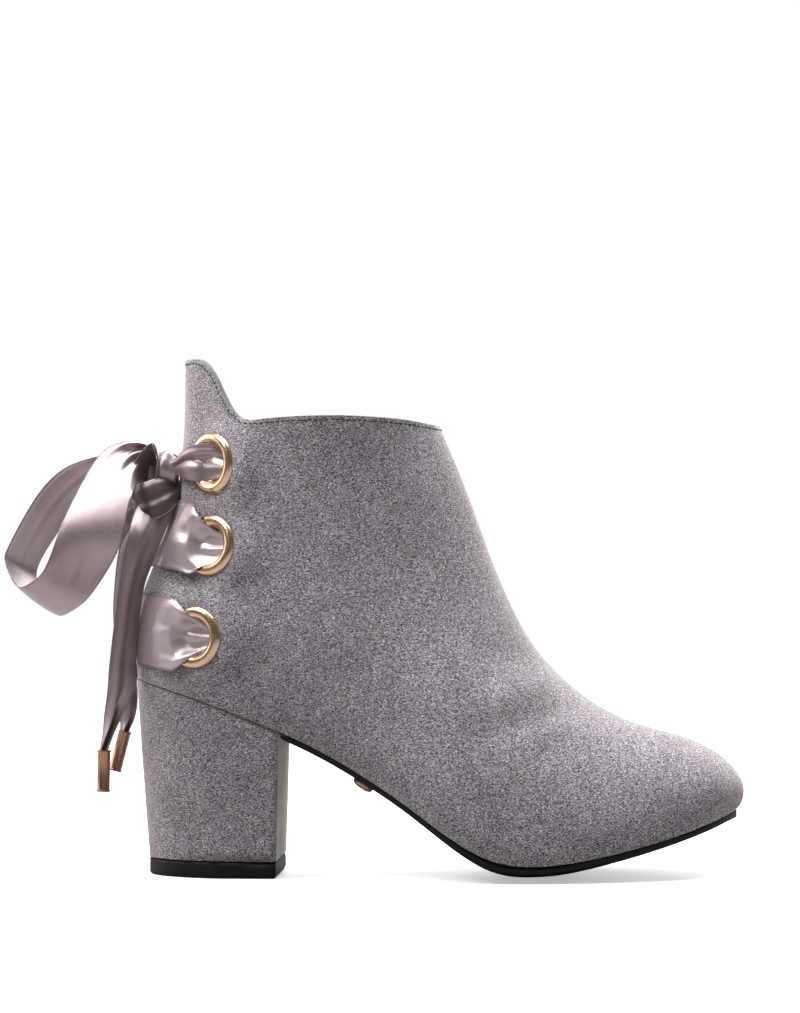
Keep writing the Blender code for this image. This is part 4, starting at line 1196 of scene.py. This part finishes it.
# Knot: turns of gathered ribbon round the crossing of the loops and tails
knotLook = {
    "core": {
        "centre": (-0.0222, 0.0010, 0.1500), "first": (0.0, 0.0, 1.0), "second": (0.0, 1.0, 0.0),
        "radii": (0.0078, 0.0066), "half": (-0.0054, 0.0, 0.0), "point": 0.0,
        "gather": 0.60, "waves": 3.0, "phase": 0.8, "drift": 1.4, "cup": 0.03,
    },
    "wrap": {
        "centre": (-0.0228, -0.0006, 0.1460), "first": (0.93, 0.0, 0.36), "second": (0.0, 1.0, 0.0),
        "radii": (0.0094, 0.0118), "half": (-0.0026, 0.0014, 0.0070), "point": 0.0,
        "pinch": 0.34, "sag": 0.0020,
        "gather": 0.12, "waves": 2.0, "phase": 2.4, "drift": 0.5, "cup": 0.05,
    },
    "ear": {
        "centre": (-0.0256, -0.0108, 0.1572), "first": (0.26, 0.0, 0.97), "second": (-0.97, 0.0, 0.26),
        "radii": (0.0086, 0.0046), "deep": (0.0030, 0.0100, -0.0020), "taper": 0.22, "point": 0.38,
        "gather": 0.03, "waves": 1.0, "phase": 0.0, "drift": 2.0, "cup": 0.03,
    },
    "smallTurn": {
        "centre": (-0.0182, -0.0034, 0.1556), "first": (0.10, 0.0, 0.99), "second": (0.0, -1.0, 0.0),
        "radii": (0.0050, 0.0056), "half": (0.0040, -0.0004, -0.0010), "point": 0.0,
        "gather": 0.10, "waves": 1.0, "phase": 1.0, "drift": 2.6, "cup": 0.16,
    },
}


def turnRows(look):
    count = 28
    centre, first, second = (np.array(look[key]) for key in ("centre", "first", "second"))
    rows = []
    for n in range(count + 1):
        a = 2.0 * math.pi * n / count
        narrow = 1.0 - look["point"] * math.cos(a)
        rim = first * look["radii"][0] * math.cos(a) + second * look["radii"][1] * narrow * math.sin(a)
        if "deep" in look:
            front = centre + rim
            back = centre + np.array(look["deep"]) + look["taper"] * rim
            rows.append((tuple(0.5 * (front + back)), tuple(0.5 * (front - back))))
        else:
            pinch = 1.0 - look.get("pinch", 0.0) * math.cos(a) ** 2
            rim[2] -= look.get("sag", 0.0) * math.sin(a) ** 2
            rows.append((tuple(centre + rim), tuple(pinch * h for h in look["half"])))
    return rows


def buildKnot():
    turns = []
    for name, look in knotLook.items():
        # the outer turn (wrap) takes the darker satin copy: its darkness is painted shade and its pale
        # picot edge a painted rim light
        turn = layRibbon("laceKnot" if name == "core" else name, 84, gathered(turnRows(look), look),
                         "deepSatin" if name == "wrap" else "satin")
        turns.append(turn)
    knot = joinPieces(turns[0], turns[1:])
    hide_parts("lace_knot")
    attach(knot, "root")


buildKnot()
print("knot made")


# Floor, light and colour of the picture
stageLook = {
    "floor": (0.93, 0.93, 0.93),
    "floorGlow": 0.45,
    "floorThrow": (0.30, 0.29, 0.30),   # what the floor throws back at the boot
    "floorRoughness": 0.28,
    "skyTop": 0.66,                # overhead and behind the boot
    "skyFront": 0.17,              # behind the camera
    "skyFade": (-0.45, 0.85),
    "skyUp": 0.8,
    "skySide": 0.3,
}


def buildStage():
    look = stageLook
    dropSelection()
    bpy.ops.mesh.primitive_plane_add(size=8.0, location=(0.0, 0.0, -0.0001))
    floor = bpy.context.object
    floor.name = "paleFloor"
    applyPlace(floor)
    made, tree, shader = newMaterial("paleFloor", look["floorRoughness"])
    seen = addNode(tree, "LightPath", {}).outputs["Is Camera Ray"]
    tree.links.new(mixColour(tree, seen, look["floorThrow"], look["floor"]), shader.inputs["Base Color"])
    shader.inputs["Specular IOR Level"].default_value = 0.30
    shader.inputs["Emission Color"].default_value = (1.0, 1.0, 1.0, 1.0)
    tree.links.new(mathNode(tree, "MULTIPLY", seen, look["floorGlow"]), shader.inputs["Emission Strength"])
    floor.data.materials.append(made)
    world = bpy.data.worlds.new("studio")
    world.use_nodes = True
    bpy.context.scene.world = world
    tree = world.node_tree
    coords = addNode(tree, "TexCoord", {})
    split = addNode(tree, "SeparateXYZ", {"Vector": coords.outputs["Generated"]})
    up = mathNode(tree, "MULTIPLY", split.outputs["Z"], look["skyUp"])
    side = mathNode(tree, "MULTIPLY", split.outputs["X"], look["skySide"])
    both = mathNode(tree, "SUBTRACT", mathNode(tree, "ADD", split.outputs["Y"], up), side)
    ramp = addNode(tree, "MapRange", {"From Min": look["skyFade"][0], "From Max": look["skyFade"][1],
                                      "To Min": look["skyFront"], "To Max": look["skyTop"],
                                      "Value": both}, interpolation_type="SMOOTHSTEP")
    white = (1.0, 1.0, 1.0, 1.0)
    sky = addNode(tree, "Background", {"Color": white, "Strength": ramp.outputs["Result"]})
    seenSky = addNode(tree, "Background", {"Color": white})
    seen = addNode(tree, "LightPath", {}).outputs["Is Camera Ray"]
    mix = addNode(tree, "MixShader", {"Fac": seen, 1: sky.outputs[0], 2: seenSky.outputs[0]})
    tree.links.new(mix.outputs["Shader"], tree.nodes["World Output"].inputs["Surface"])


lampLook = (
    # name, place, what it looks at, size, watts, colour
    ("topSoft", (0.15, 0.12, 1.05), (0.06, 0.0, 0.08), 0.9, 29.0, (1.0, 1.0, 1.0)),
    ("keySoft", (-0.50, -0.30, 0.85), (-0.03, 0.0, 0.13), 0.50, 9.0, (1.0, 0.99, 0.98)),
    ("leftRim", (-0.85, 0.22, 0.45), (-0.02, 0.0, 0.10), 0.6, 4.0, (1.0, 0.92, 0.94)),
    ("backSoft", (0.35, 0.95, 0.70), (0.08, 0.0, 0.10), 0.8, 6.0, (1.0, 1.0, 1.0)),
)


def buildLamps():
    for name, place, target, size, power, colour in lampLook:
        bpy.ops.object.light_add(type="AREA", location=place)
        lamp = bpy.context.object
        lamp.name = name
        lamp.data.size = size
        lamp.data.energy = power
        lamp.data.color = colour
        way = Vector(target) - Vector(place)
        lamp.rotation_euler = way.to_track_quat("-Z", "Y").to_euler()


buildStage()
buildLamps()
bpy.context.scene.view_settings.view_transform = "Standard"
print("stage made")
